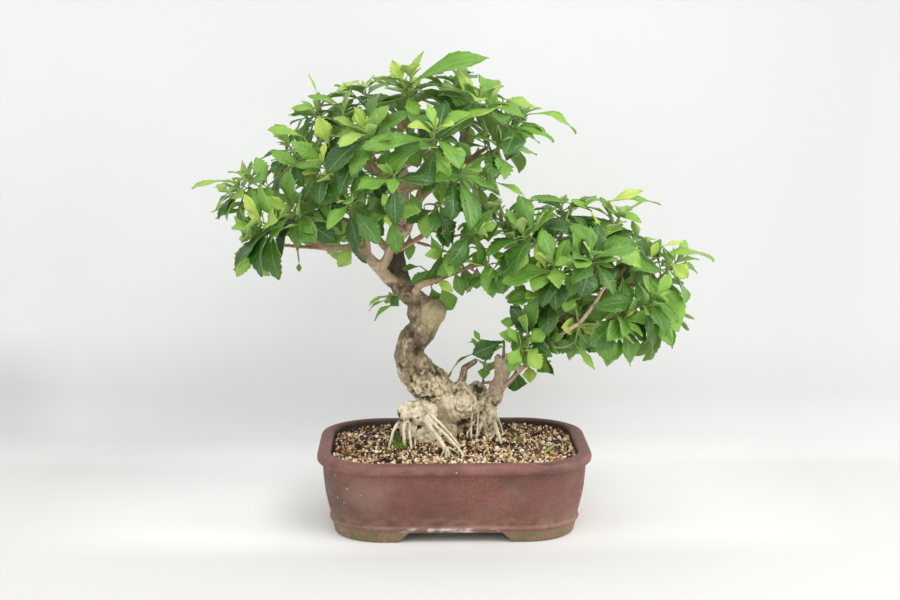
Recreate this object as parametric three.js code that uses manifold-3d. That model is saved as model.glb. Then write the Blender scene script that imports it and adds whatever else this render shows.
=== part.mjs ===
// A duranta bonsai in a rounded rectangular stoneware pot, with its soil, drainage meshes and leafy shoots.
// Millimetres, +Z up, -Y towards the viewer. Every size is given from the middle of the pot's foot, and the
// whole group is moved at the end, so that the origin lies under the middle of its box, where it stands.
import * as THREE from "three";
import { mergeVertices } from "three/addons/utils/BufferGeometryUtils.js";
import Module from "manifold-3d";

const wasm = await Module();
wasm.setup();

const CLEARANCE = 0.35; // the gap between two pieces that touch
const SLIVER = 0.05; // edges shorter than this, left where solids cross, are merged
const UP = new THREE.Vector3(0, 0, 1);
const { lerp, clamp, degToRad } = THREE.MathUtils;
const point = (numbers) => new THREE.Vector3(...numbers);

// Driving dimensions of the pot.
const POT = {
  width: 259,
  depth: 201,
  corner: 62,
  cornerSteps: 4,
  soleHeight: 10,
  floorTop: 18,
  footGapLong: [107, 86],
  footGapShort: [66, 52],
  drainRadius: 9,
  drainOffset: 55,
};

// The wall's section, from the underside of the floor round the outside and down to the top of the floor:
// how far in from the rim's edge, and how high.
const POT_SECTION = [
  [34, 10.5],
  [31, 0],
  [18.5, 0],
  [15.6, 1.8],
  [13.4, 11.5],
  [11.4, 13.2],
  [11.4, 15.4],
  [13, 17],
  [10, 27],
  [7, 43],
  [5.4, 66],
  [1.6, 67.4],
  [0, 70],
  [0, 74],
  [2.4, 77],
  [11, 77],
  [13, 75],
  [19, POT.floorTop],
];

const SOIL = { edgeHeight: 71, mound: 9, moundAt: [-4, 18], moundSize: [58, 44], grain: 1.3 };
const MESH = { side: 27, thick: 0.9, hole: 8, pitch: 11 };

// Woody limbs: the points that each one's middle passes through, and its radius there.
const LIMBS = {
  trunk: {
    sides: 8,
    points: [
      [-2, 24, 58], [-3, 24, 79], [-7, 22, 98], [-13, 19, 113], [-23, 14, 129], [-37, 8, 146],
      [-43, 4, 162], [-39, 2, 175], [-29, -2, 186], [-21, -6, 196], [-21, -4, 206], [-31, 2, 212],
      [-41, 8, 217], [-49, 12, 225], [-53, 18, 236], [-56, 22, 258], [-53, 18, 277], [-48, 12, 298],
      [-47, 6, 322], [-48, 0, 348], [-50, -2, 372], [-50, -5, 388],
    ],
    radii: [14, 15, 18.5, 19.5, 19, 17, 14.5, 14.5, 14, 10, 8.5, 9, 10, 10.5, 10, 8.5, 7, 6, 5, 4, 3, 2],
  },
  left: {
    sides: 6,
    points: [[-48, 12, 222], [-63, 4, 235], [-74, -4, 249], [-85, -8, 261], [-96, -10, 266], [-117, -14, 265],
      [-141, -18, 277], [-152, -18, 296]],
    radii: [7, 6.3, 5.6, 4.8, 3.8, 3.4, 2.6, 2],
  },
  leftUp: {
    sides: 5,
    points: [[-82, -7, 257], [-82, -8, 270], [-84, -10, 284], [-98, -16, 308], [-112, -22, 330]],
    radii: [4.4, 3.8, 3.2, 2.6, 2],
  },
  inner: {
    sides: 5,
    points: [[-69, -1, 244], [-62, -8, 257], [-59, -14, 267], [-44, -26, 283], [-38, -38, 300],
      [-31, -54, 326], [-28, -66, 344]],
    radii: [5, 4.8, 4.5, 4.1, 3.6, 2.8, 2],
  },
  innerRight: {
    sides: 5,
    points: [[-58, -12, 263], [-38, -20, 273], [-22, -28, 284], [-6, -38, 302], [4, -48, 322]],
    radii: [2.8, 2.5, 2.3, 2, 1.7],
  },
  crownRight: {
    sides: 5,
    points: [[-50, 14, 286], [-28, 10, 314], [2, 0, 340], [32, -8, 360]],
    radii: [4.6, 3.8, 3, 2],
  },
  crownBack: {
    sides: 5,
    points: [[-55, 20, 268], [-52, 48, 296], [-42, 72, 320], [-26, 92, 336]],
    radii: [4.6, 3.8, 3, 2],
  },
  leftBack: {
    sides: 5,
    points: [[-56, 22, 252], [-80, 44, 276], [-104, 60, 300], [-126, 66, 316]],
    radii: [4.4, 3.6, 2.8, 2],
  },
  crownLeft: {
    sides: 5,
    points: [[-47, 8, 312], [-70, 2, 336], [-96, 0, 358]],
    radii: [4, 3, 2],
  },
  lowRight: {
    sides: 5,
    points: [[-31, 0, 210], [-36, -8, 224], [-32, -12, 230], [-12, -18, 238], [13, -22, 248], [30, -24, 262]],
    radii: [5, 4.2, 3.7, 2.8, 2.3, 1.8],
  },
  secondStem: {
    sides: 7,
    points: [[34, 18, 62], [34, 16, 90], [35, 16, 107], [41, 14, 120], [46, 10, 134], [52, 6, 148],
      [66, 2, 158], [91, 0, 171], [117, 0, 188], [134, 0, 208], [151, -2, 231], [164, -6, 246]],
    radii: [5.5, 7.2, 7.6, 7.8, 7.2, 6, 5, 4.6, 4, 3.4, 2.6, 2],
  },
  cutStem: { sides: 7, points: [[45, 10, 132], [44, 4, 158]], radii: [5.5, 4.6] },
  joinedFoot: { sides: 7, points: [[6, 20, 100], [22, 18, 108], [36, 16, 112]], radii: [12, 9, 7] },
  baseStub: { sides: 6, points: [[8, 18, 126], [11, 10, 146], [22, 4, 154]], radii: [4.4, 3.6, 2.6] },
  padFront: { sides: 5, points: [[115, 0, 187], [117, -22, 211], [112, -46, 234]], radii: [3.2, 2.6, 1.8] },
  padBack: { sides: 5, points: [[102, 0, 179], [110, 26, 208], [118, 48, 232]], radii: [3.4, 2.6, 1.8] },
  padUp: {
    sides: 5,
    points: [[89, 0, 170], [84, 8, 206], [76, 8, 238], [70, 6, 262]],
    radii: [3.6, 3, 2.4, 1.8],
  },
};

// Roots, which run down over the base and under the soil.
const ROOTS = [
  {
    points: [[-26, 2, 108], [-13, -18, 97], [-7, -34, 86], [-2, -46, 75], [2, -52, 60]],
    radii: [3.6, 3.4, 2.9, 2.5, 1.6],
  },
  {
    points: [[-24, 2, 113], [-10, -20, 101], [1, -34, 90], [12, -46, 76], [18, -52, 62]],
    radii: [2, 2, 1.8, 1.6, 1.2],
  },
  {
    points: [[-46, -8, 102], [-48, -16, 91], [-47, -21, 75], [-46, -23, 60]],
    radii: [2.2, 1.9, 1.7, 1.2],
  },
  {
    points: [[-41, -8, 102], [-42, -18, 88], [-40, -23, 74], [-38, -26, 60]],
    radii: [2.2, 2, 1.8, 1.2],
  },
  { points: [[-33, -4, 94], [-35, -15, 76], [-35, -17, 60]], radii: [1.8, 1.5, 1.1] },
  {
    points: [[-50, -2, 100], [-58, -8, 88], [-62, -14, 74], [-64, -18, 60]],
    radii: [2.4, 1.9, 1.6, 1.1],
  },
  { points: [[32, 16, 102], [27, 10, 90], [22, 6, 78], [18, 4, 62]], radii: [2.6, 2.2, 1.9, 1.2] },
  { points: [[37, 14, 103], [41, 6, 88], [47, -6, 74], [50, -12, 60]], radii: [3, 2.7, 2.2, 1.4] },
  { points: [[29, 18, 104], [20, 14, 92], [14, 8, 82], [10, 2, 64]], radii: [2, 1.7, 1.5, 1.1] },
  { points: [[38, 20, 98], [52, 32, 84], [66, 42, 74], [74, 47, 60]], radii: [3, 2.5, 2, 1.3] },
  { points: [[-4, 32, 96], [8, 52, 84], [18, 66, 74], [22, 72, 60]], radii: [4, 3.2, 2.4, 1.5] },
  { points: [[-20, 30, 94], [-40, 46, 82], [-56, 56, 73], [-64, 60, 60]], radii: [3.8, 3, 2.2, 1.4] },
];

// Swellings of the old base and of the sharp bend: middle, and half sizes along X, Y and Z.
const BURLS = [
  { at: [5, 18, 109], size: [23, 21, 22] },
  { at: [12, 2, 114], size: [11, 9, 11] },
  { at: [-29, 2, 131], size: [12, 10, 12] },
  { at: [24, 22, 119], size: [9, 9, 10] },
  { at: [-35, -1, 104], size: [20, 13, 12] },
  { at: [-38, 2, 88], size: [14, 12, 14] },
  { at: [-26, -7, 83], size: [9, 8, 10] },
  { at: [-22, -3, 203], size: [15.5, 13, 15] },
  { at: [-34, 1, 202], size: [11, 10, 13] },
];

// Leafy shoots: the mass each belongs to, its number of leaf pairs, and where its growing tip stands. A
// fourth number makes a shoot's leaves smaller or larger.
const CROWN = { middle: [-52, 5, 322], half: [150, 115, 90], lift: 0.7, droop: [0.75, 0.1], size: 1 };
const PAD = { middle: [108, 0, 232], half: [92, 84, 62], lift: 0.7, droop: [0.75, 0.1], size: 1 };
const BASE = { middle: [30, 12, 150], half: [50, 50, 50], lift: 0.5, droop: [0.4, 0.1], size: 0.95 };
const SPROUT = { middle: [-20, 4, 212], half: [40, 40, 40], lift: -0.2, droop: [0.4, 0.2], size: 0.6 };
const SHOOTS = [
  [CROWN, 4, [
    [-204, -15, 325], [-190, -40, 280], [-40, -5, 426], [-18, -88, 382], [22, -35, 408], [66, 0, 393],
    [-78, -65, 378], [-55, -98, 342, 0.86], [-150, -58, 305], [-155, 0, 362], [-4, -40, 264, 0.7],
  ]],
  [CROWN, 3, [
    [-104, -10, 395], [4, 20, 426], [-98, -85, 318], [44, -30, 368], [-130, 30, 390], [-84, 30, 415],
    [-60, -78, 306, 0.7], [-104, -30, 280, 0.62], [-176, -62, 296, 1.12], [-120, -62, 350], [7, -72, 345],
    [-13, -62, 312, 0.8], [22, -45, 284, 0.85],
    [-160, 55, 318], [-112, 88, 362], [-52, 82, 394], [6, 80, 393], [54, 55, 373],
    [26, 95, 329], [-24, 115, 339], [-80, 118, 329], [-124, 90, 296],
  ]],
  [PAD, 4, [
    [212, -10, 252], [186, -50, 224], [90, -62, 258], [158, -52, 204], [206, 10, 202], [30, -40, 252, 0.7],
    [66, -40, 184],
  ]],
  [PAD, 3, [
    [159, 5, 296], [137, -32, 280], [104, 15, 303], [116, -34, 196], [124, -70, 266], [63, -42, 282],
    [42, -8, 298], [80, -45, 228], [182, 50, 261], [142, 75, 266], [92, 75, 268], [165, 65, 219],
  ]],
  [BASE, 2, [[63, -45, 174], [31, 2, 159]]],
  [SPROUT, 2, [[-72, -14, 219]]],
];
const SHOOT = { radius: 1.4, sides: 3, shortest: 15, longest: 27, twigRadius: 1.7 };
const LEAF = { oldest: 54, youngest: 27, slenderness: 0.46, thick: 1.7, fold: 16, tries: 6 };

// One side of a blade's edge: how far along the leaf, and how far out as a share of its half width.
const BLADE_EDGE = [[0.2, 0.12], [0.54, 1], [0.68, 0.74], [0.79, 0.78]];
const BLADE_CREST = 0.5;

// A repeatable draw from 0 to 1 for a pair of counting numbers and a purpose.
function draw(a, b, purpose) {
  const wave = Math.sin(a * 12.9898 + b * 78.233 + purpose * 37.719) * 43758.5453;
  return wave - Math.floor(wave);
}

// Closed geometry as a solid, with its shared corners merged.
function solid(geometry) {
  const bare = geometry.clone();
  bare.deleteAttribute("normal");
  bare.deleteAttribute("uv");
  const merged = mergeVertices(bare, 1e-4);
  const { array } = merged.getAttribute("position");
  return new wasm.Manifold(
    new wasm.Mesh({ numProp: 3, vertProperties: array, triVerts: new Uint32Array(merged.index.array) }),
  );
}

// A solid as plain geometry again.
function geometryOf(made) {
  const mesh = made.getMesh();
  const positions = new Float32Array(mesh.numVert * 3);
  for (let i = 0; i < mesh.numVert; i++) {
    positions.set(mesh.vertProperties.subarray(i * mesh.numProp, i * mesh.numProp + 3), i * 3);
  }
  const geometry = new THREE.BufferGeometry();
  geometry.setAttribute("position", new THREE.BufferAttribute(positions, 3));
  geometry.setIndex(new THREE.BufferAttribute(new Uint32Array(mesh.triVerts), 1));
  geometry.computeVertexNormals();
  return geometry;
}

const fuse = (solids) => solids.reduce((whole, next) => whole.add(next)).simplify(SLIVER);

// The outer skin alone, so that a hollow shut in between fused limbs is filled.
const larger = (one, other) => (other.volume() > one.volume() ? other : one);
const filled = (made) => made.decompose().reduce(larger);

// A closed body through rings of points that all have the same count, with its two end rings filled in.
function loft(rings) {
  const count = rings[0].length;
  const positions = rings.flat().flatMap((p) => [p.x, p.y, p.z]);
  const faces = [];
  for (let ring = 0; ring + 1 < rings.length; ring++) {
    for (let i = 0; i < count; i++) {
      const [a, b] = [ring * count + i, ring * count + ((i + 1) % count)];
      faces.push(a, b, b + count, a, b + count, a + count);
    }
  }
  for (const [ring, turned] of [[0, true], [rings.length - 1, false]]) {
    const middle = positions.length / 3;
    const centre = rings[ring].reduce((sum, p) => sum.add(p), new THREE.Vector3()).divideScalar(count);
    positions.push(centre.x, centre.y, centre.z);
    for (let i = 0; i < count; i++) {
      const [a, b] = [ring * count + i, ring * count + ((i + 1) % count)];
      faces.push(middle, turned ? b : a, turned ? a : b);
    }
  }
  const geometry = new THREE.BufferGeometry();
  geometry.setAttribute("position", new THREE.Float32BufferAttribute(positions, 3));
  geometry.setIndex(faces);
  return geometry;
}

// The pot's plan outline, drawn in by an inset, at a height.
function potRing(inset, height) {
  const radius = POT.corner - inset * 0.85;
  const [halfX, halfY] = [POT.width / 2 - inset - radius, POT.depth / 2 - inset - radius];
  const ring = [];
  for (const [quarter, [sx, sy]] of [[1, 1], [-1, 1], [-1, -1], [1, -1]].entries()) {
    for (let i = 0; i <= POT.cornerSteps; i++) {
      const angle = (quarter + i / POT.cornerSteps) * (Math.PI / 2);
      const [x, y] = [sx * halfX + radius * Math.cos(angle), sy * halfY + radius * Math.sin(angle)];
      ring.push(new THREE.Vector3(x, y, height));
    }
  }
  return ring;
}

// A wedge-ended bar that cuts one pair of gaps between the feet, along Y or along X.
function footGap([atSole, atTop], along) {
  const reach = 300;
  const shape = new THREE.Shape();
  shape.moveTo(-atSole / 2 - 1, -1);
  shape.lineTo(atSole / 2 + 1, -1);
  shape.lineTo(atTop / 2, POT.soleHeight);
  shape.lineTo(-atTop / 2, POT.soleHeight);
  const bar = new THREE.ExtrudeGeometry(shape, { depth: reach, bevelEnabled: false });
  bar.rotateX(Math.PI / 2).translate(0, reach / 2, 0);
  if (along === "x") bar.rotateZ(Math.PI / 2);
  return solid(bar);
}

function drainBore(side) {
  const height = 3 * POT.floorTop;
  const bore = new THREE.CylinderGeometry(POT.drainRadius, POT.drainRadius, height, 12);
  bore.rotateX(Math.PI / 2).translate(side * POT.drainOffset, 0, 0);
  return solid(bore);
}

function makePot() {
  const body = solid(loft(POT_SECTION.map(([inset, height]) => potRing(inset, height))));
  const gaps = [footGap(POT.footGapLong, "y"), footGap(POT.footGapShort, "x")];
  return [...gaps, drainBore(-1), drainBore(1)].reduce((whole, cut) => whole.subtract(cut), body);
}

// A square of coarse plastic mesh over a drainage hole.
function makeDrainMesh(side) {
  const height = POT.floorTop + CLEARANCE + MESH.thick / 2;
  const box = (wide, thick, x, y) => {
    const block = new THREE.BoxGeometry(wide, wide, thick);
    return solid(block.translate(side * POT.drainOffset + x, y, height));
  };
  let plate = box(MESH.side, MESH.thick, 0, 0);
  for (const column of [-0.5, 0.5]) {
    for (const row of [-0.5, 0.5]) {
      plate = plate.subtract(box(MESH.hole, 3 * MESH.thick, column * MESH.pitch, row * MESH.pitch));
    }
  }
  return plate;
}

// A pocket in the underside of the soil that clears a drainage mesh.
function meshPocket(side) {
  const wide = MESH.side + 2 * CLEARANCE;
  const pocket = new THREE.BoxGeometry(wide, wide, 2 * (MESH.thick + 2 * CLEARANCE));
  return solid(pocket.translate(side * POT.drainOffset, 0, POT.floorTop + CLEARANCE));
}

// How high the soil's surface stands over a place in the pot.
function soilHeight(x, y) {
  const [dx, dy] = [(x - SOIL.moundAt[0]) / SOIL.moundSize[0], (y - SOIL.moundAt[1]) / SOIL.moundSize[1]];
  return SOIL.edgeHeight + SOIL.mound * Math.exp(-dx * dx - dy * dy);
}

function makeSoil() {
  const wall = POT_SECTION.slice(-2);
  const share = (height) => (height - wall[1][1]) / (wall[0][1] - wall[1][1]);
  const insetAt = (height) => lerp(wall[1][0], wall[0][0], share(height)) + CLEARANCE;
  const bottom = POT.floorTop + CLEARANCE;
  const rings = [potRing(insetAt(bottom), bottom), potRing(insetAt(SOIL.edgeHeight), SOIL.edgeHeight)];
  for (const [number, scale] of [0.88, 0.68, 0.46, 0.22].entries()) {
    rings.push(
      rings[1].map((p, i) => {
        const [x, y] = [p.x * scale, p.y * scale];
        const grain = SOIL.grain * (2 * draw(number, i, 5) - 1);
        return new THREE.Vector3(x, y, soilHeight(x, y) + grain);
      }),
    );
  }
  return [...groundWood(CLEARANCE), meshPocket(-1), meshPocket(1)].reduce(
    (whole, cut) => whole.subtract(cut),
    solid(loft(rings)),
  );
}

// A tapering limb: a closed cylinder bent along a smooth curve. grow makes it thicker all over.
function limb({ points, radii, sides = 5 }, stepsPerSpan = 1, grow = 0) {
  const curve = new THREE.CatmullRomCurve3(points.map(point), false, "centripetal");
  const spans = points.length - 1;
  const steps = spans * stepsPerSpan;
  const geometry = new THREE.CylinderGeometry(1, 1, 1, sides, steps);
  const frames = [];
  let across = new THREE.Vector3(0.31, -0.9, 0.31);
  for (let i = 0; i <= steps; i++) {
    const along = curve.getTangent(i / steps);
    across = across.clone().addScaledVector(along, -across.dot(along)).normalize();
    const beyond = grow * (Number(i === steps) - Number(i === 0));
    const centre = curve.getPoint(i / steps).addScaledVector(along, beyond);
    frames.push({ centre, across, third: along.clone().cross(across) });
  }
  const radiusAt = (i) => {
    const place = (i / steps) * spans;
    const before = Math.min(Math.floor(place), spans - 1);
    return lerp(radii[before], radii[before + 1], place - before) + grow;
  };
  const position = geometry.getAttribute("position");
  for (let i = 0; i < position.count; i++) {
    const row = Math.round((0.5 - position.getY(i)) * steps);
    const { centre, across: first, third } = frames[row];
    const placed = centre
      .clone()
      .addScaledVector(first, position.getX(i) * radiusAt(row))
      .addScaledVector(third, position.getZ(i) * radiusAt(row));
    position.setXYZ(i, placed.x, placed.y, placed.z);
  }
  return solid(geometry);
}

function burl({ at, size }, grow = 0) {
  const ball = new THREE.IcosahedronGeometry(1, 1);
  ball.scale(size[0] + grow, size[1] + grow, size[2] + grow);
  return solid(ball.translate(...at));
}

// The wood that stands in the soil: both stems, the swollen base and the roots.
function groundWood(grow) {
  return [
    limb(LIMBS.trunk, 1, grow),
    limb(LIMBS.secondStem, 1, grow),
    ...BURLS.map((one) => burl(one, grow)),
    ...ROOTS.map((root) => limb({ ...root, sides: 4 }, 1, grow)),
  ];
}

// All leafy shoots. Each grows away from the middle of its mass and upwards, and the lower ones hang their
// leaves more.
function listShoots() {
  const shoots = [];
  for (const [{ middle, half, lift, droop, size }, pairs, tips] of SHOOTS) {
    for (const [x, y, z, scale = 1] of tips) {
      const tip = [x, y, z];
      const number = shoots.length;
      const outward = point(tip.map((value, axis) => (value - middle[axis]) / half[axis])).normalize();
      const direction = outward.clone().addScaledVector(UP, lift).normalize();
      const length = lerp(SHOOT.shortest, SHOOT.longest, draw(number, 0, 1));
      shoots.push({
        number,
        pairs,
        outward,
        direction,
        length,
        foot: point(tip).addScaledVector(direction, -length),
        droop: lerp(droop[0], droop[1], clamp(0.5 + (0.6 * (tip[2] - middle[2])) / half[2], 0, 1)),
        size: size * scale * lerp(0.88, 1.1, draw(number, 0, 2)),
        turn: 360 * draw(number, 0, 3),
      });
    }
  }
  return shoots;
}

// The twig that carries each shoot leaves the nearest limb or earlier twig, a little nearer to the root.
function makeTwigs(shoots) {
  const carriers = Object.values(LIMBS).map(({ points, radii }) => ({ points, radii }));
  const reachOf = ({ foot }, { points }) => Math.min(...points.map((p) => point(p).distanceTo(foot)));
  const nearest = (shoot) =>
    carriers.reduce((best, one) => (reachOf(shoot, one) < reachOf(shoot, best) ? one : best));
  const order = [...shoots].sort((a, b) => reachOf(a, nearest(a)) - reachOf(b, nearest(b)));
  return order.map((shoot) => {
    const carrier = nearest(shoot);
    const distances = carrier.points.map((p) => point(p).distanceTo(shoot.foot));
    const closest = distances.indexOf(Math.min(...distances));
    const at = Math.max(closest - 1, 0);
    const start = point(carrier.points[at]);
    const before = shoot.foot.clone().addScaledVector(shoot.direction, -9);
    const radii = [Math.min(carrier.radii[at] * 0.8, 3), 2.2, SHOOT.twigRadius];
    const twig = { points: [start, before, shoot.foot].map((p) => p.toArray()), radii, sides: 3 };
    carriers.push(twig);
    return limb(twig);
  });
}

function makeTree(shoots) {
  const wood = Object.values(LIMBS).map((one) => limb(one));
  return filled(fuse([...wood, ...groundWood(0), ...makeTwigs(shoots)]));
}

// Where one leaf of a shoot sits and how it is turned. A later attempt bends it further from its place.
function leafPose(shoot, number, attempt) {
  const pair = Math.floor(number / 2);
  const age = 1 - pair / (shoot.pairs - 1);
  const swing = (purpose) => 2 * draw(shoot.number, number, 10 + purpose + 10 * attempt) - 1;
  const around = degToRad(shoot.turn + 90 * pair + 180 * (number % 2) + swing(0) * (14 + 9 * attempt));
  const lean = degToRad(lerp(34, 88, age) + swing(1) * (9 + 4 * attempt));
  const first = new THREE.Vector3(0.31, -0.9, 0.31).cross(shoot.direction).normalize();
  const second = shoot.direction.clone().cross(first);
  const outward = first.multiplyScalar(Math.cos(around)).addScaledVector(second, Math.sin(around));
  const along = shoot.direction
    .clone()
    .multiplyScalar(Math.cos(lean))
    .addScaledVector(outward, Math.sin(lean))
    .addScaledVector(UP, -shoot.droop * age)
    .normalize();
  const face = UP.clone().multiplyScalar(0.8).add(shoot.outward).addScaledVector(outward, 0.15);
  face.addScaledVector(along, -face.dot(along)).normalize();
  return {
    root: shoot.foot.clone().addScaledVector(shoot.direction, shoot.length * lerp(0.94, 0.42, age)),
    along,
    face,
    side: along.clone().cross(face),
    length: lerp(LEAF.youngest, LEAF.oldest, age) * shoot.size * (1 + 0.12 * swing(2)) * 0.96 ** attempt,
    width: LEAF.slenderness * (1 + 0.14 * swing(3)),
    bend: degToRad(lerp(14, 44, age) + 14 * swing(4)),
    wave: swing(5),
  };
}

// The point of a leaf that lies a share t along it and s half widths out, on a midrib that arches down.
function leafPoint(leaf, t, s, thick) {
  const turned = leaf.bend * t;
  const run = (leaf.length * Math.sin(turned)) / leaf.bend;
  const drop = (leaf.length * (1 - Math.cos(turned))) / leaf.bend;
  const normal = leaf.face.clone().multiplyScalar(Math.cos(turned));
  normal.addScaledVector(leaf.along, Math.sin(turned));
  const out = (s * leaf.length * leaf.width) / 2;
  const fold = degToRad(LEAF.fold);
  return leaf.root
    .clone()
    .addScaledVector(leaf.along, run)
    .addScaledVector(leaf.face, -drop)
    .addScaledVector(leaf.side, out * Math.cos(fold))
    .addScaledVector(normal, Math.abs(out) * Math.sin(fold) + thick);
}

// A leaf blade: its toothed edge, drawn to a crest above and a crest below the midrib.
function blade(leaf, grow = 0) {
  const widen = 1 + (4 * grow) / (leaf.length * leaf.width);
  const sideOf = (sign) => BLADE_EDGE.map(([t, s]) => leafPoint(leaf, t, sign * s * widen, 0));
  const rim = [leafPoint(leaf, 0, 0, 0), ...sideOf(1), leafPoint(leaf, 1 + grow / leaf.length, 0, 0)];
  rim.push(...sideOf(-1).reverse());
  const half = LEAF.thick / 2 + grow;
  const crests = [leafPoint(leaf, BLADE_CREST, 0, half), leafPoint(leaf, BLADE_CREST, 0, -half)];
  const faces = rim.flatMap((_, i) => {
    const next = (i + 1) % rim.length;
    return [i, next, rim.length, next, i, rim.length + 1];
  });
  const geometry = new THREE.BufferGeometry();
  geometry.setAttribute(
    "position",
    new THREE.Float32BufferAttribute([...rim, ...crests].flatMap((p) => p.toArray()), 3),
  );
  geometry.setIndex(faces);
  return solid(geometry);
}

const withBox = (made) => ({ solid: made, box: made.boundingBox() });
const boxesMeet = (a, b) => [0, 1, 2].every((axis) => a.min[axis] < b.max[axis] && b.min[axis] < a.max[axis]);

// How much of a solid lies in another, in cubic millimetres.
function shared(one, other) {
  return boxesMeet(one.box, other.box) ? one.solid.intersect(other.solid).volume() : 0;
}

// The green stem of a shoot, which starts just off the end of its twig.
function makeStem({ foot, direction, length }) {
  const at = (distance) => foot.clone().addScaledVector(direction, distance).toArray();
  const radii = [SHOOT.radius, SHOOT.radius * 0.7];
  return limb({ points: [at(CLEARANCE), at(length)], radii, sides: SHOOT.sides });
}

// The leaves of one shoot. Each takes the first of its attempts that is clear of all other pieces.
function makeLeaves(shoot, others) {
  const leaves = [];
  for (let number = 0; number < 2 * shoot.pairs; number++) {
    for (let attempt = 0; attempt < LEAF.tries; attempt++) {
      const leaf = leafPose(shoot, number, attempt);
      const reach = withBox(blade(leaf, CLEARANCE));
      const blocked = others.some((other) => shared(reach, other) > 0);
      const tangled = leaves.some((other) => shared(reach, other) > 0.5);
      if (!blocked && !tangled) {
        leaves.push(withBox(blade(leaf)));
        break;
      }
    }
  }
  return leaves;
}

const material = (color, roughness) => new THREE.MeshStandardMaterial({ color, roughness, metalness: 0 });
const MATERIALS = {
  stoneware: material(0x7a4d46, 0.75),
  soil: material(0x8a6a4c, 0.95),
  bark: material(0xa08a6a, 0.85),
  leaf: material(0x4f8a3a, 0.45),
  mesh: material(0x202422, 0.6),
};

const bonsai = new THREE.Group();
function place(name, made, finish) {
  const mesh = new THREE.Mesh(geometryOf(made), MATERIALS[finish]);
  mesh.name = name;
  bonsai.add(mesh);
}

const shoots = listShoots();
const wood = makeTree(shoots);
const pot = makePot();
const soil = makeSoil();
place("pot", pot, "stoneware");
place("soil", soil, "soil");
place("drain_mesh_left", makeDrainMesh(-1), "mesh");
place("drain_mesh_right", makeDrainMesh(1), "mesh");
place("trunk_branches_and_roots", wood, "bark");

const stems = shoots.map((shoot) => withBox(makeStem(shoot)));
const placed = [wood, pot, soil].map(withBox);
for (const shoot of shoots) {
  const stem = stems[shoot.number];
  const leaves = makeLeaves(shoot, [...placed, ...stems.filter((other) => other !== stem)]);
  const name = `leafy_shoot_${String(shoot.number + 1).padStart(2, "0")}`;
  place(name, fuse([stem, ...leaves].map((one) => one.solid)), "leaf");
  placed.push(...leaves);
}

const box = new THREE.Box3().setFromObject(bonsai);
const centre = box.getCenter(new THREE.Vector3());
bonsai.position.set(-centre.x, -centre.y, -box.min.z);

export default bonsai;
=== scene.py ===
# %% [markdown]
# # A duranta bonsai in a stoneware pot
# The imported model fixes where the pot, the wood and every leafy shoot are. This lesson dresses it: a turned
# rim and foot for the pot, grains and moss for the soil, bark for the wood, and thin toothed leaves for the
# shoots. Everything is in metres in the model's own frame, so nothing has to be fitted by eye.

import math

import bmesh
import bpy
import numpy as np
from mathutils import Matrix, Vector, noise
from mathutils.bvhtree import BVHTree
from mathutils.kdtree import KDTree


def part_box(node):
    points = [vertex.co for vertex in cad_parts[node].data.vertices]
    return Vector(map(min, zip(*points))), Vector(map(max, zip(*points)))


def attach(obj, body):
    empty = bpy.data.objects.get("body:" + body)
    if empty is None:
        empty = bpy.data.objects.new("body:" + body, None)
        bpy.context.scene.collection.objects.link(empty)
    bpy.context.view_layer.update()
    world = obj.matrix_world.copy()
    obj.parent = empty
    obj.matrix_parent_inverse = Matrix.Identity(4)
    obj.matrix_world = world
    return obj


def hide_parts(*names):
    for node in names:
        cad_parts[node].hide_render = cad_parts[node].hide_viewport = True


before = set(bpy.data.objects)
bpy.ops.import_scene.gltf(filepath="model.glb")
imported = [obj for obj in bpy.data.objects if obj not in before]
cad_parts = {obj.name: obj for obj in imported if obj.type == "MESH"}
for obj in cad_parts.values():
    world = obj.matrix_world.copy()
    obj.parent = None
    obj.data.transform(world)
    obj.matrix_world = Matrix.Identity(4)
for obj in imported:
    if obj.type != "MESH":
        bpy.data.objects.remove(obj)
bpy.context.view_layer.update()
MM = 0.001
UP = Vector((0, 0, 1))
pot_low, pot_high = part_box("pot")
FOOT = Vector(((pot_low[0] + pot_high[0]) / 2, (pot_low[1] + pot_high[1]) / 2, pot_low[2]))


def place(x, y, z):
    """A point given in millimetres from the middle of the pot's foot."""
    return Vector((x, y, z)) * MM + FOOT


# %% [markdown]
# ## Camera
# The view comes first, because it decides which details matter. A longish lens 1.6 m away, a little above the
# crown and tipped down by about nine degrees, gives the same rim ellipse and the same foot line as the
# photograph. It stays level, so the pot stands upright in the picture. It also stands a degree or so to the
# left, because the gap between the front feet lies a little to the right of the rim's middle.

# %% Camera
VIEW = {"distance": 1600, "height": 463, "aside": -3.3, "turn": math.radians(-1.3), "tip": math.radians(8.85)}
VIEW_TURN = Matrix.Rotation(VIEW["turn"], 3, "Z")
LENS, SENSOR, PICTURE_WIDTH, PICTURE_HEIGHT = 67.9, 36, 900, 600
PIXEL = SENSOR / LENS / PICTURE_WIDTH
EYE = Vector((VIEW["aside"], -VIEW["distance"], VIEW["height"]))
camera_data = bpy.data.cameras.new("camera")
camera_data.sensor_width = SENSOR
camera_data.lens = LENS
camera = bpy.data.objects.new("camera", camera_data)
camera.location = place(*(VIEW_TURN @ EYE))
camera.rotation_euler = (math.pi / 2 - VIEW["tip"], 0, VIEW["turn"])
bpy.context.scene.collection.objects.link(camera)
bpy.context.scene.camera = camera
print("camera at", [round(value, 3) for value in camera.location])

# %% [markdown]
# Some leaves and roots are placed where the photograph shows them. A place in the picture, which is 900
# pixels wide and 600 high, and a depth behind the middle of the pot make one point on the camera's ray.


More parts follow.
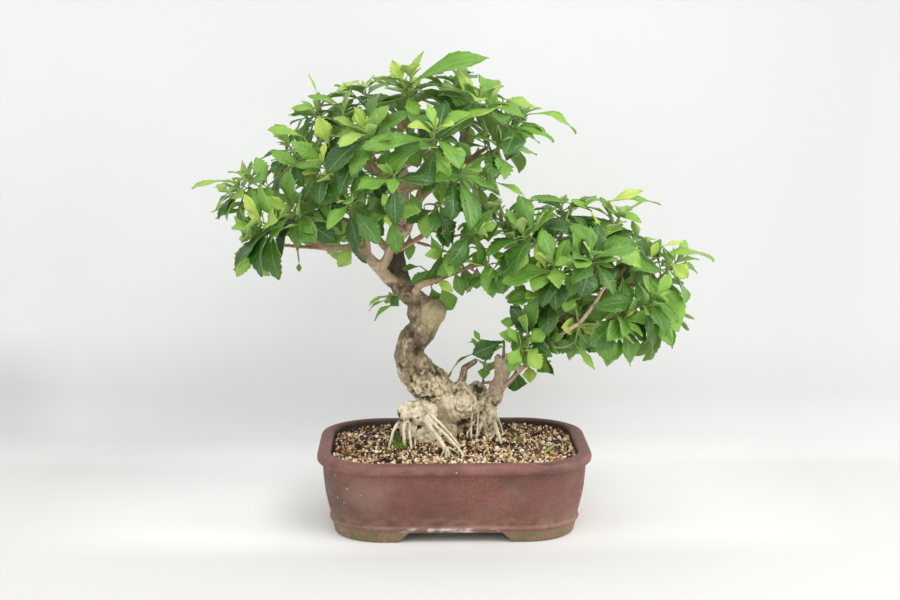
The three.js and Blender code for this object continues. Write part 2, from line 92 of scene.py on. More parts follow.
# %% From the picture to the tree
def in_view(across, down, depth):
    """The point in millimetres from the middle of the pot's foot that a picture place shows at a depth."""
    side, rise = (across - PICTURE_WIDTH / 2) * PIXEL, (PICTURE_HEIGHT / 2 - down) * PIXEL
    tip = VIEW["tip"]
    ray = Vector((side, math.cos(tip) + rise * math.sin(tip), rise * math.cos(tip) - math.sin(tip)))
    return VIEW_TURN @ (EYE + ray * ((depth + VIEW["distance"]) / ray.y))


def picture_place(point):
    """Where a point in millimetres from the middle of the pot's foot is seen in the picture."""
    away = VIEW_TURN.inverted() @ point - EYE
    tip = VIEW["tip"]
    deep = away.y * math.cos(tip) - away.z * math.sin(tip)
    rise = away.y * math.sin(tip) + away.z * math.cos(tip)
    return PICTURE_WIDTH / 2 + away.x / deep / PIXEL, PICTURE_HEIGHT / 2 - rise / deep / PIXEL


def depth_of(point):
    """How far behind the middle of the pot a point in metres lies, seen from the camera."""
    return (VIEW_TURN.inverted() @ ((point - FOOT) / MM)).y


def seen_on(surface, across, down):
    """Where a picture place meets a surface, or the nearest point where it misses, and the way out."""
    eye = place(*in_view(across, down, -VIEW["distance"]))
    aim = place(*in_view(across, down, 0))
    hit, normal, _, _ = surface.ray_cast(eye, (aim - eye).normalized())
    if hit is None:
        hit, normal, _, _ = surface.find_nearest(aim)
    return hit, normal


print("the rim's front middle is seen at", [round(value) for value in picture_place(Vector((0, -100, 77)))])

# %% [markdown]
# ## Helpers for numbers and draws
# A tree needs thousands of small differences, and they have to be the same on every run. So each draw is
# worked out from counting numbers, with no state behind it, and the last number says what it is for. The
# same rule placed the leaves of the model, which is how this script finds each leaf again.


# %% Draws and blends
def draw(a, b, purpose):
    """A repeatable draw from 0 to 1."""
    wave = math.sin(a * 12.9898 + b * 78.233 + purpose * 37.719) * 43758.5453
    return wave - math.floor(wave)


def swing(a, b, purpose):
    return 2 * draw(a, b, purpose) - 1


def lerp(low, high, share):
    return low + (high - low) * share


def ramp(value, low, high):
    """0 below low, 1 above high and smooth in between, for numbers and arrays alike."""
    share = np.clip((value - low) / (high - low), 0, 1)
    return share * share * (3 - 2 * share)


# %% [markdown]
# ## Shader maths in plain Python
# Node trees are quick to draw by hand but slow to read in a script. One small class wraps a socket, so that
# a mask can be written as an ordinary sum, and one method adds any other node.


# %% Sockets that can be added and multiplied
class Wire:
    """A socket of a material that takes part in Python sums."""

    def __init__(self, finish, socket):
        self.finish = finish
        self.socket = socket

    def sum(self, operation, first, second=0.0):
        return self.finish.add("ShaderNodeMath", {0: first, 1: second}, operation=operation)

    def __add__(self, other):
        return self.sum("ADD", self, other)

    def __sub__(self, other):
        return self.sum("SUBTRACT", self, other)

    def __rsub__(self, other):
        return self.sum("SUBTRACT", other, self)

    def __mul__(self, other):
        return self.sum("MULTIPLY", self, other)

    def __abs__(self):
        return self.sum("ABSOLUTE", self)

    __radd__ = __add__
    __rmul__ = __mul__


class Finish:
    """A new material whose nodes are written as Python expressions."""

    def __init__(self, name, **values):
        self.material = bpy.data.materials.new(name)
        self.material.use_nodes = True
        self.tree = self.material.node_tree
        self.shader = self.tree.nodes["Principled BSDF"]
        for socket, value in values.items():
            self.shader.inputs[socket.replace("_", " ")].default_value = value

    def add(self, kind, inputs=None, output=0, **settings):
        """Adds a node and gives one of its outputs."""
        node = self.tree.nodes.new(kind)
        for key, value in settings.items():
            setattr(node, key, value)
        for key, value in (inputs or {}).items():
            self.plug(node.inputs[key], value)
        return Wire(self, node.outputs[output])

    def plug(self, socket, value):
        if isinstance(value, Wire):
            self.tree.links.new(value.socket, socket)
        else:
            socket.default_value = value

    def where(self):
        return self.add("ShaderNodeTexCoord", output="Object")

    def axis(self, where, name):
        return self.add("ShaderNodeSeparateXYZ", {"Vector": where}, name)

    def attribute(self, name):
        return self.add("ShaderNodeAttribute", output="Fac", attribute_name=name)

    def noise(self, where, scale, detail, stretch=None):
        if stretch:
            where = self.add("ShaderNodeMapping", {"Vector": where, "Scale": stretch})
        return self.add("ShaderNodeTexNoise", {"Vector": where, "Scale": scale, "Detail": detail}, "Fac")

    def cells(self, where, scale):
        return self.add("ShaderNodeTexVoronoi", {"Vector": where, "Scale": scale}, "Distance")

    def between(self, value, low, high):
        """0 where value is low, 1 where it is high."""
        limits = {"Value": value, "From Min": low, "From Max": high}
        return self.add("ShaderNodeMapRange", limits, clamp=True)

    def colours(self, value, stops):
        """A colour that runs through stops, each a value and a colour."""
        wire = self.add("ShaderNodeValToRGB", {"Fac": value})
        band = wire.socket.node.color_ramp
        while len(band.elements) < len(stops):
            band.elements.new(0.5)
        for element, (position, colour) in zip(band.elements, stops):
            element.position = position
            element.color = (*colour, 1)
        return wire

    def mix(self, share, first, second):
        pair = [(*colour, 1) if isinstance(colour, tuple) else colour for colour in (first, second)]
        return self.add("ShaderNodeMix", {0: share, 6: pair[0], 7: pair[1]}, 2, data_type="RGBA")

    def blend(self, value, low, high, first, second):
        """The first colour where value is low, the second where it is high."""
        return self.mix(self.between(value, low, high), first, second)

    def coats(self, colour, layers):
        """A colour under layers, each a share and a colour, the lowest first."""
        for share, over in layers:
            colour = self.mix(share, colour, over)
        return colour

    def set(self, **links):
        for socket, value in links.items():
            self.plug(self.shader.inputs[socket.replace("_", " ")], value)
        return self.material

    def bump(self, height, millimetres, strength=1.0):
        values = {"Height": height, "Distance": millimetres * MM, "Strength": strength}
        return self.add("ShaderNodeBump", values, "Normal")


# %% [markdown]
# ## Turning a mesh into a piece
# Every piece ends the same way: its mesh in place, its finish on it, riding on the model's one body, and
# standing for the nodes that it replaces.


# %% Making and finishing pieces
def mesh_of(name, source):
    """The mesh of a bmesh, which is then freed. A mesh is passed on as it is."""
    if isinstance(source, bpy.types.Mesh):
        return source
    mesh = bpy.data.meshes.new(name)
    source.to_mesh(mesh)
    source.free()
    return mesh


def loose_object(name, source, finishes=()):
    """A smooth object from a bmesh or a mesh, with its finishes."""
    mesh = mesh_of(name, source)
    mesh.polygons.foreach_set("use_smooth", [True] * len(mesh.polygons))
    for finish in finishes:
        mesh.materials.append(finish)
    piece = bpy.data.objects.new(name, mesh)
    bpy.context.scene.collection.objects.link(piece)
    return piece


def finish_piece(name, source, finishes, replaces=(), sharp=None):
    """Makes a piece from a bmesh or a mesh, rides it on the model's root body and hides the nodes that it
    replaces.
    """
    piece = loose_object(name, source, finishes)
    if sharp:
        piece.data.set_sharp_from_angle(angle=math.radians(sharp))
    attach(piece, "root")
    if replaces:
        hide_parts(*replaces)
    piece.data.calc_loop_triangles()
    print(name, len(piece.data.loop_triangles), "triangles")


def applied(piece):
    """The mesh of an object with its modifiers applied. The object itself is removed."""
    shape = piece.evaluated_get(bpy.context.evaluated_depsgraph_get())
    mesh = bpy.data.meshes.new_from_object(shape)
    bpy.data.objects.remove(piece)
    return mesh


def extruded(shape, edges):
    """Extrudes edges of a bmesh, and gives the new edges, corners and faces."""
    drawn = bmesh.ops.extrude_edge_only(shape, edges=edges)["geom"]
    kinds = (bmesh.types.BMEdge, bmesh.types.BMVert, bmesh.types.BMFace)
    return [[part for part in drawn if isinstance(part, kind)] for kind in kinds]


def positions(mesh, what="co"):
    """The corners of a mesh as rows of three numbers, or their normals."""
    flat = np.empty(len(mesh.vertices) * 3, dtype=np.float32)
    mesh.vertices.foreach_get(what, flat)
    return flat.reshape(-1, 3)


def write_attribute(mesh, name, values):
    layer = mesh.attributes.new(name, "FLOAT", "POINT")
    layer.data.foreach_set("value", np.asarray(values, dtype=np.float32))


# %% [markdown]
# ## The stoneware finish
# Unglazed brown-red clay, fired a little unevenly, so its colour drifts in soft clouds. Years of watering
# have left khaki algae on the foot band, white lime under the raised line at the front, grey dust in patches
# and a few white specks. The rim is lighter in patches, partly paler clay and partly painted sheen. Inside
# the
# rim the wall is darker: an attribute of the mesh tells that part.


# %% Stoneware
def make_stoneware():
    finish = Finish("brown_stoneware", Roughness=0.78)
    where = finish.where()
    across, height = finish.axis(where, "X"), finish.axis(where, "Z")
    inside = finish.attribute("inside")
    clouds = finish.noise(where, 22, 4)
    drift = finish.noise(where, 70, 3, (1, 1, 2.2))
    speckle = finish.noise(where, 420, 3)
    clay = finish.blend(clouds, 0.36, 0.64, (0.125, 0.05, 0.036), (0.225, 0.078, 0.058))
    left_end = finish.between(across, -0.085, -0.135) * finish.between(height, 0.068, 0.05)
    dust = finish.between(finish.noise(where, 17, 6), 0.52, 0.68) * finish.between(height, 0.074, 0.05)
    # The rim is painted lighter and pinker in patches: partly paler clay, partly painted sheen.
    lip_painted_sheen = finish.between(height, 0.0655, 0.0675) * finish.between(drift, 0.3, 0.7)
    line = finish.between(height, 0.0112, 0.0128) * finish.between(height, 0.0172, 0.016)
    over_line = finish.between(height, 0.03, 0.017) * finish.between(height, 0.0165, 0.0175)
    band = finish.between(height, 0.0125, 0.0105)
    algae = finish.between(finish.noise(where, 85, 5), 0.47, 0.62) * band
    front = finish.between(abs(across + 0.012), 0.05, 0.03) * finish.between(height, 0.0095, 0.0112)
    lime = finish.between(finish.noise(where, 120, 4, (0.6, 1, 1)), 0.5, 0.62) * front
    lime = lime * finish.between(height, 0.0158, 0.0138)
    specks = finish.between(finish.cells(where, 110), 0.12, 0.06)
    specks = specks * finish.between(finish.noise(where, 31, 2), 0.5, 0.56)
    stained = finish.coats(clay, [
        (finish.between(drift, 0.5, 0.72) * 0.35, (0.27, 0.13, 0.1)),
        (finish.between(speckle, 0.48, 0.62) * 0.55, (0.095, 0.05, 0.036)),
        (left_end * 0.6, (0.15, 0.095, 0.062)),
        (dust * 0.4, (0.3, 0.2, 0.155)),
        (lip_painted_sheen * 0.5, (0.34, 0.165, 0.15)),
        (line * (0.15 + 0.4 * finish.between(drift, 0.4, 0.62)), (0.35, 0.2, 0.16)),
        (over_line * finish.between(drift, 0.4, 0.6) * 0.5, (0.27, 0.2, 0.12)),
        (band * (0.5 + 0.35 * finish.between(speckle, 0.4, 0.6)), (0.25, 0.175, 0.1)),
        (algae * 0.65, (0.115, 0.13, 0.03)),
        (lime * 0.85, (0.72, 0.64, 0.58)),
        (specks * 0.75, (0.66, 0.58, 0.5)),
        # Inside the rim the wall is coloured far darker.
        (inside, finish.blend(speckle, 0.4, 0.7, (0.028, 0.016, 0.013), (0.07, 0.04, 0.03))),
    ])
    rough = 0.5 + 0.3 * finish.between(drift, 0.35, 0.65) + 0.15 * inside
    grain = finish.noise(where, 1100, 2) * 0.5 + finish.noise(where, 260, 3)
    return finish.set(Base_Color=stained, Roughness=rough, Normal=finish.bump(grain, 0.3, 0.6))


STONEWARE = make_stoneware()

# %% [markdown]
# ## The pot
# The real pot was pressed in a mould: a rounded rectangle whose wall bulges softly, with a rolled rim, a thin
# raised line and a foot band. A lathe can't make a rectangle, so one rounded outline is extruded ring by ring
# up the outside, over the rim and down the inside. The gaps between the feet and the drainage holes are then
# cut, and the cut edges get a small bevel.

# %% Pot sizes
POT = {"width": 259, "depth": 201, "corner": 62, "corner_steps": 16}
# Each ring's inset and height, from under the floor round the foot, up the wall, over the rim and inside.
POT_SECTION = [
    (31.6, 10.5), (31, 9.2), (31, 0.7), (30.3, 0), (19.2, 0), (17.6, 0.3), (16.4, 1.0), (15.7, 2.2),
    (15.0, 5.5), (14.0, 9.5), (13.4, 11.6), (12.4, 12.7), (11.6, 13.3), (11.35, 14.2), (11.5, 15.1),
    (12.1, 15.9), (13.0, 16.7), (12.9, 17.7), (11.9, 20.5), (10.4, 26), (8.6, 34), (7.1, 43), (6.2, 52),
    (5.5, 60), (5.3, 64.6), (4.7, 66.0), (3.2, 66.9), (1.5, 67.8), (0.4, 69.2), (0, 71), (0.1, 73.4),
    (0.7, 75.3), (1.9, 76.5), (3.6, 77), (9.6, 77), (11.4, 76.6), (12.5, 75.6), (13.0, 74), (13.4, 70),
    (19, 18),
]


def pot_ring(inset, height):
    """The pot's plan outline, drawn in by an inset, at a height."""
    radius = POT["corner"] - inset * 0.85
    half_x = POT["width"] / 2 - inset - radius
    half_y = POT["depth"] / 2 - inset - radius
    ring = []
    for quarter, (side_x, side_y) in enumerate([(1, 1), (-1, 1), (-1, -1), (1, -1)]):
        for step in range(POT["corner_steps"] + 1):
            turn = (quarter + step / POT["corner_steps"]) * math.pi / 2
            ring.append(place(side_x * half_x + radius * math.cos(turn),
                              side_y * half_y + radius * math.sin(turn), height))
    return ring


# %% Pot body
def make_pot():
    shell = bmesh.new()
    corners = [shell.verts.new(point) for point in pot_ring(*POT_SECTION[0])]
    edges = [shell.edges.new(pair) for pair in zip(corners, corners[1:] + corners[:1])]
    bmesh.ops.contextual_create(shell, geom=edges)
    for section in POT_SECTION[1:]:
        edges, moved, _ = extruded(shell, edges)
        for vertex, point in zip(moved, match_ring(moved, pot_ring(*section))):
            vertex.co = point
    bmesh.ops.contextual_create(shell, geom=edges)
    bmesh.ops.recalc_face_normals(shell, faces=shell.faces)
    body = loose_object("pot_shell", shell)
    cutters = [foot_gap(109, 86, "y"), foot_gap(68, 52, "x"), drain_bore(-1), drain_bore(1)]
    for cutter in cutters:
        cut = body.modifiers.new("cut", "BOOLEAN")
        cut.operation = "DIFFERENCE"
        cut.solver = "EXACT"
        cut.object = cutter
    bevel = body.modifiers.new("edge", "BEVEL")
    bevel.width = 0.9 * MM
    bevel.segments = 3
    bevel.limit_method = "ANGLE"
    bevel.angle_limit = math.radians(38)
    mesh = applied(body)
    for cutter in cutters:
        bpy.data.objects.remove(cutter)
    points = positions(mesh)
    height = (points[:, 2] - FOOT.z) / MM
    far = ramp(points[:, 1] - FOOT.y, 0.03, 0.07)
    inset = inset_of(points)
    # Inside the rim, and on the lip's inner slope at the back, the wall is marked for the darker colour.
    inside = np.maximum(ramp(inset, 12.2, 13.2), 0.75 * far * ramp(inset, 3, 7)) * (height > 24)
    write_attribute(mesh, "inside", inside)
    finish_piece("stoneware_pot", mesh, [STONEWARE], ["pot"], sharp=42)


def inset_of(points):
    """How far inside the rim's outline each point lies, in millimetres."""
    across, deep, _ = (np.abs(points - np.array(FOOT)) / MM).T
    half_x, half_y = POT["width"] / 2 - POT["corner"], POT["depth"] / 2 - POT["corner"]
    return POT["corner"] - np.hypot(np.maximum(across - half_x, 0), np.maximum(deep - half_y, 0))


def match_ring(vertices, ring):
    """The ring's points in the order of the vertices, by their direction from the middle."""
    def heading(point):
        return math.atan2(point.y - FOOT.y, point.x - FOOT.x)

    places = sorted(range(len(vertices)), key=lambda index: heading(vertices[index].co))
    matched = dict(zip(places, sorted(ring, key=heading)))
    return [matched[index] for index in range(len(vertices))]


def foot_gap(at_sole, at_top, along):
    """A wedge-sided bar that cuts one pair of gaps between the feet."""
    bar = bmesh.new()
    bmesh.ops.create_cube(bar, size=1)
    for vertex in bar.verts:
        width = at_sole if vertex.co.z < 0 else at_top
        height = -1 if vertex.co.z < 0 else 10
        vertex.co = Vector((vertex.co.x * width, vertex.co.y * 300, height))
    if along == "x":
        bmesh.ops.rotate(bar, verts=bar.verts, matrix=Matrix.Rotation(math.pi / 2, 3, "Z"))
    bmesh.ops.transform(bar, matrix=Matrix.Translation(FOOT) @ Matrix.Scale(MM, 4), verts=bar.verts)
    return loose_object("foot_gap", bar)


def drain_bore(side):
    bore = bmesh.new()
    at, radius = Matrix.Translation(place(side * 55, 0, 15)), 9 * MM
    bmesh.ops.create_cone(bore, cap_ends=True, segments=40, radius1=radius, radius2=radius, depth=30 * MM,
                          matrix=at)
    return loose_object("drain_bore", bore)


make_pot()

# %% [markdown]
# ## Drainage mesh
# Two squares of black plastic mesh keep the grains in. They can only be seen through the holes from below,
# so the model's own solids stay, with a moulded plastic finish.


# %% Drainage mesh finish
def make_mesh_plastic():
    finish = Finish("black_mesh_plastic", Roughness=0.5)
    where = finish.where()
    dust = finish.between(finish.noise(where, 400, 3), 0.5, 0.7) * 0.5
    colour = finish.mix(dust, (0.018, 0.02, 0.018), (0.12, 0.085, 0.055))
    weave = finish.noise(where, 1500, 2)
    return finish.set(Base_Color=colour, Roughness=0.45 + 0.4 * dust, Normal=finish.bump(weave, 0.15, 0.5))


MESH_PLASTIC = make_mesh_plastic()


def dress_node(name, finish):
    """Puts a finish on one of the model's own solids."""
    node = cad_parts[name]
    node.data.materials.clear()
    node.data.materials.append(finish)


for side in ("left", "right"):
    dress_node("drain_mesh_" + side, MESH_PLASTIC)
print("drainage meshes dressed")

# %% [markdown]
# ## Soil
# Bonsai soil is fired clay, pumice and bark, sieved to a few millimetres. The solid below is painted dark, as
# the shade between the grains. The grains themselves are cut stones with a few faces each, a little different
# in size, turn and tone, and they are dropped on the mound where no wood stands. They are darker towards the
# back and the left, and brightest along the front.


# %% Soil finishes
def make_soil_finish():
    finish = Finish("soil_painted_shade", Roughness=0.95)
    where = finish.where()
    lumps = finish.cells(where, 260)
    tone = finish.noise(where, 190, 4)
    # Painted shade: the solid is nearly black, standing in for the shade in the gaps between the grains.
    colour = finish.blend(tone, 0.35, 0.7, (0.02, 0.013, 0.011), (0.075, 0.045, 0.03))
    return finish.set(Base_Color=colour, Normal=finish.bump(lumps + tone * 0.5, 1.2))


def make_grain_finish():
    finish = Finish("soil_grains", Roughness=0.9)
    where = finish.where()
    tone = finish.attribute("tone")
    stops = [(0.0, (0.016, 0.012, 0.014)), (0.2, (0.045, 0.026, 0.02)), (0.34, (0.17, 0.08, 0.035)),
             (0.48, (0.46, 0.23, 0.08)), (0.62, (0.66, 0.42, 0.2)), (0.76, (0.78, 0.59, 0.37)),
             (0.9, (0.88, 0.74, 0.53)), (1.0, (0.96, 0.89, 0.74))]
    colour = finish.colours(tone, stops)
    pores = finish.noise(where, 900, 3)
    colour = finish.mix(finish.between(pores, 0.55, 0.75) * 0.3, colour, (0.12, 0.08, 0.05))
    return finish.set(Base_Color=colour, Normal=finish.bump(pores, 0.35, 0.7))


SOIL = make_soil_finish()
GRAIN = make_grain_finish()
dress_node("soil", SOIL)


# %% Surfaces to drop things on
def surface_of(mesh):
    """A copy of a mesh that rays can be cast at."""
    points = [vertex.co.copy() for vertex in mesh.vertices]
    return BVHTree.FromPolygons(points, [list(face.vertices) for face in mesh.polygons])


WOOD_NODE = "trunk_branches_and_roots"
soil_surface = surface_of(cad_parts["soil"].data)
wood_surface = surface_of(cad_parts[WOOD_NODE].data)


def ground(x, y):
    """The soil's surface under a place in the pot, or None beyond its edge."""
    return soil_surface.ray_cast(place(x, y, 140), -UP)[0]


def clear_of_wood(point, distance):
    near, normal, _, gap = wood_surface.find_nearest(point)
    return gap > distance and (point - near).dot(normal) > 0


def in_pot(x, y, inset):
    """True inside the wall's inner outline, drawn in further by an inset."""
    wall, radius = 13.6, POT["corner"] - 12 - inset * 0.85
    half_x, half_y = (POT[side] / 2 - wall - inset - radius for side in ("width", "depth"))
    return math.hypot(max(abs(x) - half_x, 0), max(abs(y) - half_y, 0)) < radius


# %% [markdown]
# A few shapes of stone are cut first, from an icosahedron whose corners are pushed in and out and then
# wrapped in flat faces again. Copies of them are gathered into one piece, which is much lighter than
# thousands of objects.


# %% Gathering many copies
def cut_stone(seed):
    """One rough stone about a millimetre across."""
    stone = bmesh.new()
    bmesh.ops.create_icosphere(stone, subdivisions=1, radius=0.5)
    for vertex in stone.verts:
        vertex.co *= 1 + 0.3 * swing(seed, vertex.index, 21)
    bmesh.ops.delete(stone, geom=stone.edges[:], context="EDGES_FACES")
    bmesh.ops.convex_hull(stone, input=stone.verts)
    loose = [vertex for vertex in stone.verts if not vertex.link_faces]
    bmesh.ops.delete(stone, geom=loose, context="VERTS")
    return mesh_of("stone", stone)


def gather(name, copies):
    """One mesh from (mesh, matrix, tone) copies. The tone is kept as an attribute."""
    points, faces, tones = [], [], []
    for mesh, matrix, tone in copies:
        start = len(points)
        points += [matrix @ vertex.co for vertex in mesh.vertices]
        faces += [[start + corner for corner in face.vertices] for face in mesh.polygons]
        tones += [tone] * len(mesh.vertices)
    whole = bpy.data.meshes.new(name)
    whole.from_pydata(points, [], faces)
    write_attribute(whole, "tone", tones)
    return whole


# %% Grains
STONES = [cut_stone(seed) for seed in range(9)]
GRAIN_PITCH = 2.4


def turned(number, size, at):
    """A matrix that turns a grain at random, stretches and sizes it and puts it at a point."""
    turn = Matrix.Identity(4)
    for axis, purpose in zip("XYZ", (31, 32, 33)):
        turn = turn @ Matrix.Rotation(math.tau * draw(6, number, purpose), 4, axis)
    long = lerp(0.9, 1.45, draw(6, number, 30) ** 1.5)
    broad, high = lerp(0.7, 1, draw(6, number, 34)), lerp(0.5, 0.85, draw(6, number, 35))
    sizes = Matrix.Diagonal((long, broad, high, 1)) @ Matrix.Scale(size * MM, 4)
    return Matrix.Translation(at) @ turn @ sizes


def make_grains():
    copies = []
    columns, rows = (int(POT[side] / GRAIN_PITCH) for side in ("width", "depth"))
    for number in range(columns * rows):
        column, row = divmod(number, rows)
        x = -POT["width"] / 2 + (column + draw(1, number, 36)) * GRAIN_PITCH
        y = -POT["depth"] / 2 + (row + draw(2, number, 37)) * GRAIN_PITCH
        size = 2.0 + 2.6 * draw(3, number, 38) ** 2 + (2.4 if draw(4, number, 39) > 0.965 else 0)
        at = ground(x, y) if in_pot(x, y, size / 2) else None
        if at is None or not clear_of_wood(at + UP * 0.5 * MM, 0.3 * size * MM):
            continue
        at = at + UP * MM * size * lerp(-0.05, 0.42, draw(5, number, 40))
        # Grains are darker towards the back and the left, lighter along the front, and darker in soft
        # patches.
        darkening = 0.5 * float(ramp(-x, -10, 110)) + 0.5 * float(ramp(y, 0, 75))
        darkening -= 0.3 * float(ramp(-y, 20, 80))
        darkening += 1.8 * max(noise.noise(Vector((x, y, 0)) * 0.055), -0.15)
        tone = draw(7, number, 41) ** (1 + darkening)
        copies.append((STONES[number % len(STONES)], turned(number, size, at), tone))
    print("grains", len(copies))
    finish_piece("soil_grains", gather("grains", copies), [GRAIN], sharp=20)


make_grains()

# %% [markdown]
# ## Bits on the soil
# Flat bark chips, short pale straws and one fallen leaf lie among the grains. Moss grows in small tufts where
# the ground stays wet, and one tuft is tall and grassy. A moss blade is a three-sided cone, the cheapest
# pointed thing there is.

# %% Chips, straws and moss
# Moss: picture place, spread in pixels, number of blades, and their length in millimetres.
MOSS = [(396, 441, 5, 110, 6.5), (398, 448, 5, 90, 5.0), (389, 454, 4, 60, 3.0), (404, 449, 2, 40, 5.0),
        (518, 443, 3, 60, 3.6), (514, 438, 2, 24, 3.0), (527, 450, 2, 30, 3.0), (508, 461, 4, 40, 2.2)]
WOOD_MOSS = [(419, 394, 2, 40, 2.2), (418, 417, 1.4, 26, 2.0), (413, 352, 1.5, 16, 1.5),
             (415, 319, 2, 30, 2.0)]
# Straws, and one fallen leaf: the picture places of both ends.
STRAWS = [(367, 441, 379, 437), (517, 452, 529, 461), (507, 448, 512, 455), (344, 450, 355, 447),
          (540, 446, 551, 448)]
FALLEN_LEAF = (543, 457, 554, 447)
CHIPS = 90


def make_bit_finish():
    finish = Finish("bark_and_straw", Roughness=0.8)
    where = finish.where()
    fibres = finish.noise(where, 700, 3)
    stops = [(0.0, (0.05, 0.03, 0.022)), (0.35, (0.17, 0.085, 0.045)), (0.6, (0.4, 0.22, 0.11)),
             (0.85, (0.62, 0.47, 0.31)), (1.0, (0.8, 0.7, 0.55))]
    colour = finish.colours(finish.attribute("tone") + (fibres - 0.5) * 0.3, stops)
    return finish.set(Base_Color=colour, Normal=finish.bump(fibres, 0.2, 0.6))


def make_moss_finish():
    finish = Finish("moss", Roughness=0.75)
    where = finish.where()
    tone = finish.attribute("tone") + (finish.noise(where, 500, 2) - 0.5) * 0.5
    stops = [(0.0, (0.03, 0.075, 0.012)), (0.5, (0.09, 0.19, 0.02)), (1.0, (0.34, 0.42, 0.07))]
    return finish.set(Base_Color=finish.colours(tone, stops), Normal=finish.bump(tone, 0.1, 0.5))


BITS = make_bit_finish()
MOSS_GREEN = make_moss_finish()


def moss_blade():
    blade = bmesh.new()
    bmesh.ops.create_cone(blade, cap_ends=True, segments=3, radius1=0.16, radius2=0.0, depth=1,
                          matrix=Matrix.Translation((0, 0, 0.45)))
    return mesh_of("moss_blade", blade)


def laid(ends, thick, high):
    """A matrix that lays a stone between two picture places of the soil."""
    first, last = (seen_on(soil_surface, *ends[k:k + 2])[0] + UP * 2.4 * MM for k in (0, 2))
    turn = (last - first).to_track_quat("X", "Z").to_matrix().to_4x4()
    sizes = Matrix.Diagonal(((last - first).length, thick * MM, high * MM, 1))
    return Matrix.Translation((first + last) / 2) @ turn @ sizes


def make_chips():
    copies = [(STONES[3], laid(ends, 1.1, 0.9), 0.97) for ends in STRAWS]
    for number in range(CHIPS):
        x, y = 118 * swing(11, number, 36), 90 * swing(12, number, 37)
        at = ground(x, y) if in_pot(x, y, 6) else None
        if at is None or not clear_of_wood(at, 4 * MM):
            continue
        length = lerp(5, 11, draw(13, number, 38)) * MM
        broad = length * lerp(0.3, 0.6, draw(17, number, 42))
        turn = Matrix.Rotation(math.tau * draw(14, number, 39), 4, "Z")
        turn = turn @ Matrix.Rotation(0.5 * swing(15, number, 40), 4, "X")
        turn = turn @ Matrix.Rotation(0.3 * swing(16, number, 41), 4, "Y")
        matrix = Matrix.Translation(at + UP * 1.9 * MM) @ turn @ Matrix.Diagonal((length, broad, 1.3 * MM, 1))
        copies.append((STONES[number % len(STONES)], matrix, lerp(0.1, 0.65, draw(18, number, 43))))
    finish_piece("bark_chips", gather("bark_chips", copies), [BITS], sharp=20)


def make_moss():
    blade, copies = moss_blade(), [(STONES[1], laid(FALLEN_LEAF, 4.5, 1.0), 1.2)]
    patches = [(soil_surface, *patch) for patch in MOSS] + [(wood_surface, *patch) for patch in WOOD_MOSS]
    for surface, across, down, spread, count, length in patches:
        for number in range(count):
            seed = int(across * 10) + number
            turn, far = math.tau * draw(seed, 1, 81), spread * math.sqrt(draw(seed, 2, 81))
            at, normal = seen_on(surface, across + far * math.cos(turn), down + 0.6 * far * math.sin(turn))
            lean = Vector([swing(seed, purpose, 81) for purpose in (3, 4, 5)])
            heading = (normal + UP * 0.5 + lean * 0.7).normalized().to_track_quat("Z", "Y")
            matrix = Matrix.Translation(at + normal * 1.2 * MM) @ heading.to_matrix().to_4x4()
            size = length * MM * lerp(0.6, 1.3, draw(seed, 6, 81))
            copies.append((blade, matrix @ Matrix.Scale(size, 4), draw(seed, 7, 81)))
    finish_piece("moss_tufts", gather("moss_tufts", copies), [MOSS_GREEN], sharp=30)


make_chips()
make_moss()

# %% [markdown]
# ## Wood
# The trunk, limbs and roots grew as one, so they are one piece here too. The model's solid has the right
# course and girth everywhere but flat facets, so a copy of it is remeshed into small even quads and relaxed.
# Relaxing thins a round limb, so it is swelled a little again. A ray through each point then measures how
# thick the wood is there, and that number decides how coarse the bark is.


# %% A smooth copy of the wood
def smooth_wood():
    source = bmesh.new()
    source.from_mesh(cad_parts[WOOD_NODE].data)
    bmesh.ops.remove_doubles(source, verts=source.verts, dist=0.01 * MM)
    piece = loose_object("wood_copy", source)
    remesh = piece.modifiers.new("quads", "REMESH")
    remesh.mode = "VOXEL"
    remesh.voxel_size = 1.16 * MM
    relax = piece.modifiers.new("relax", "SMOOTH")
    relax.factor = 0.6
    relax.iterations = 5
    return applied(piece)


def measure_girth(mesh):
    """How thick the wood is under each point, in millimetres."""
    thickest, longest = 40, 60 * MM
    surface = surface_of(mesh)
    girth = np.full(len(mesh.vertices), 1.0)
    for index, (point, normal) in enumerate(zip(positions(mesh), positions(mesh, "normal"))):
        inward = -Vector(normal)
        hit = surface.ray_cast(Vector(point) + inward * 0.1 * MM, inward, longest)
        girth[index] = hit[3] / MM if hit[0] is not None else thickest
    edges = np.empty(len(mesh.edges) * 2, dtype=np.int64)
    mesh.edges.foreach_get("vertices", edges)
    edges = edges.reshape(-1, 2)
    for _ in range(8):
        total, count = girth.copy(), np.ones(len(girth))
        for one, other in ((0, 1), (1, 0)):
            np.add.at(total, edges[:, one], girth[edges[:, other]])
            np.add.at(count, edges[:, one], 1)
        girth = total / count
    return girth


# %% [markdown]
# The old base is fibrous, knobbly and cream-coloured, with healed wounds like round eyes. The bark above it
# is browner, with fine wrinkles around the stem. The outside of the sharp bend is smooth and olive, and the
# limbs are smooth and a little pink. Fibres run along the stem and wrinkles around it, so each point first
# learns where it is along the stem's own course. Relief is pushed into the surface itself, and each kind of
# wood gets a share at every point, which the colours then follow. The relief also steers the colour, as
# painted shade in the crevices and painted highlight on the crests, and a dark share paints shade into
# hollows and onto shaded flanks.

# %% The course of the grain
COURSES = [
    [(-3, 22, 70), (-7, 22, 98), (-13, 19, 113), (-23, 14, 129), (-37, 8, 146), (-43, 4, 162), (-39, 2, 175),
     (-29, -2, 186), (-21, -6, 196), (-21, -4, 206), (-31, 2, 212), (-41, 8, 217), (-49, 12, 225),
     (-53, 18, 236), (-56, 22, 258), (-48, 12, 298)],
    [(34, 16, 70), (35, 16, 107), (41, 14, 120), (52, 6, 148), (66, 2, 158), (117, 0, 188)],
    [(-36, -4, 66), (-36, -2, 96), (-28, 4, 112)],
]


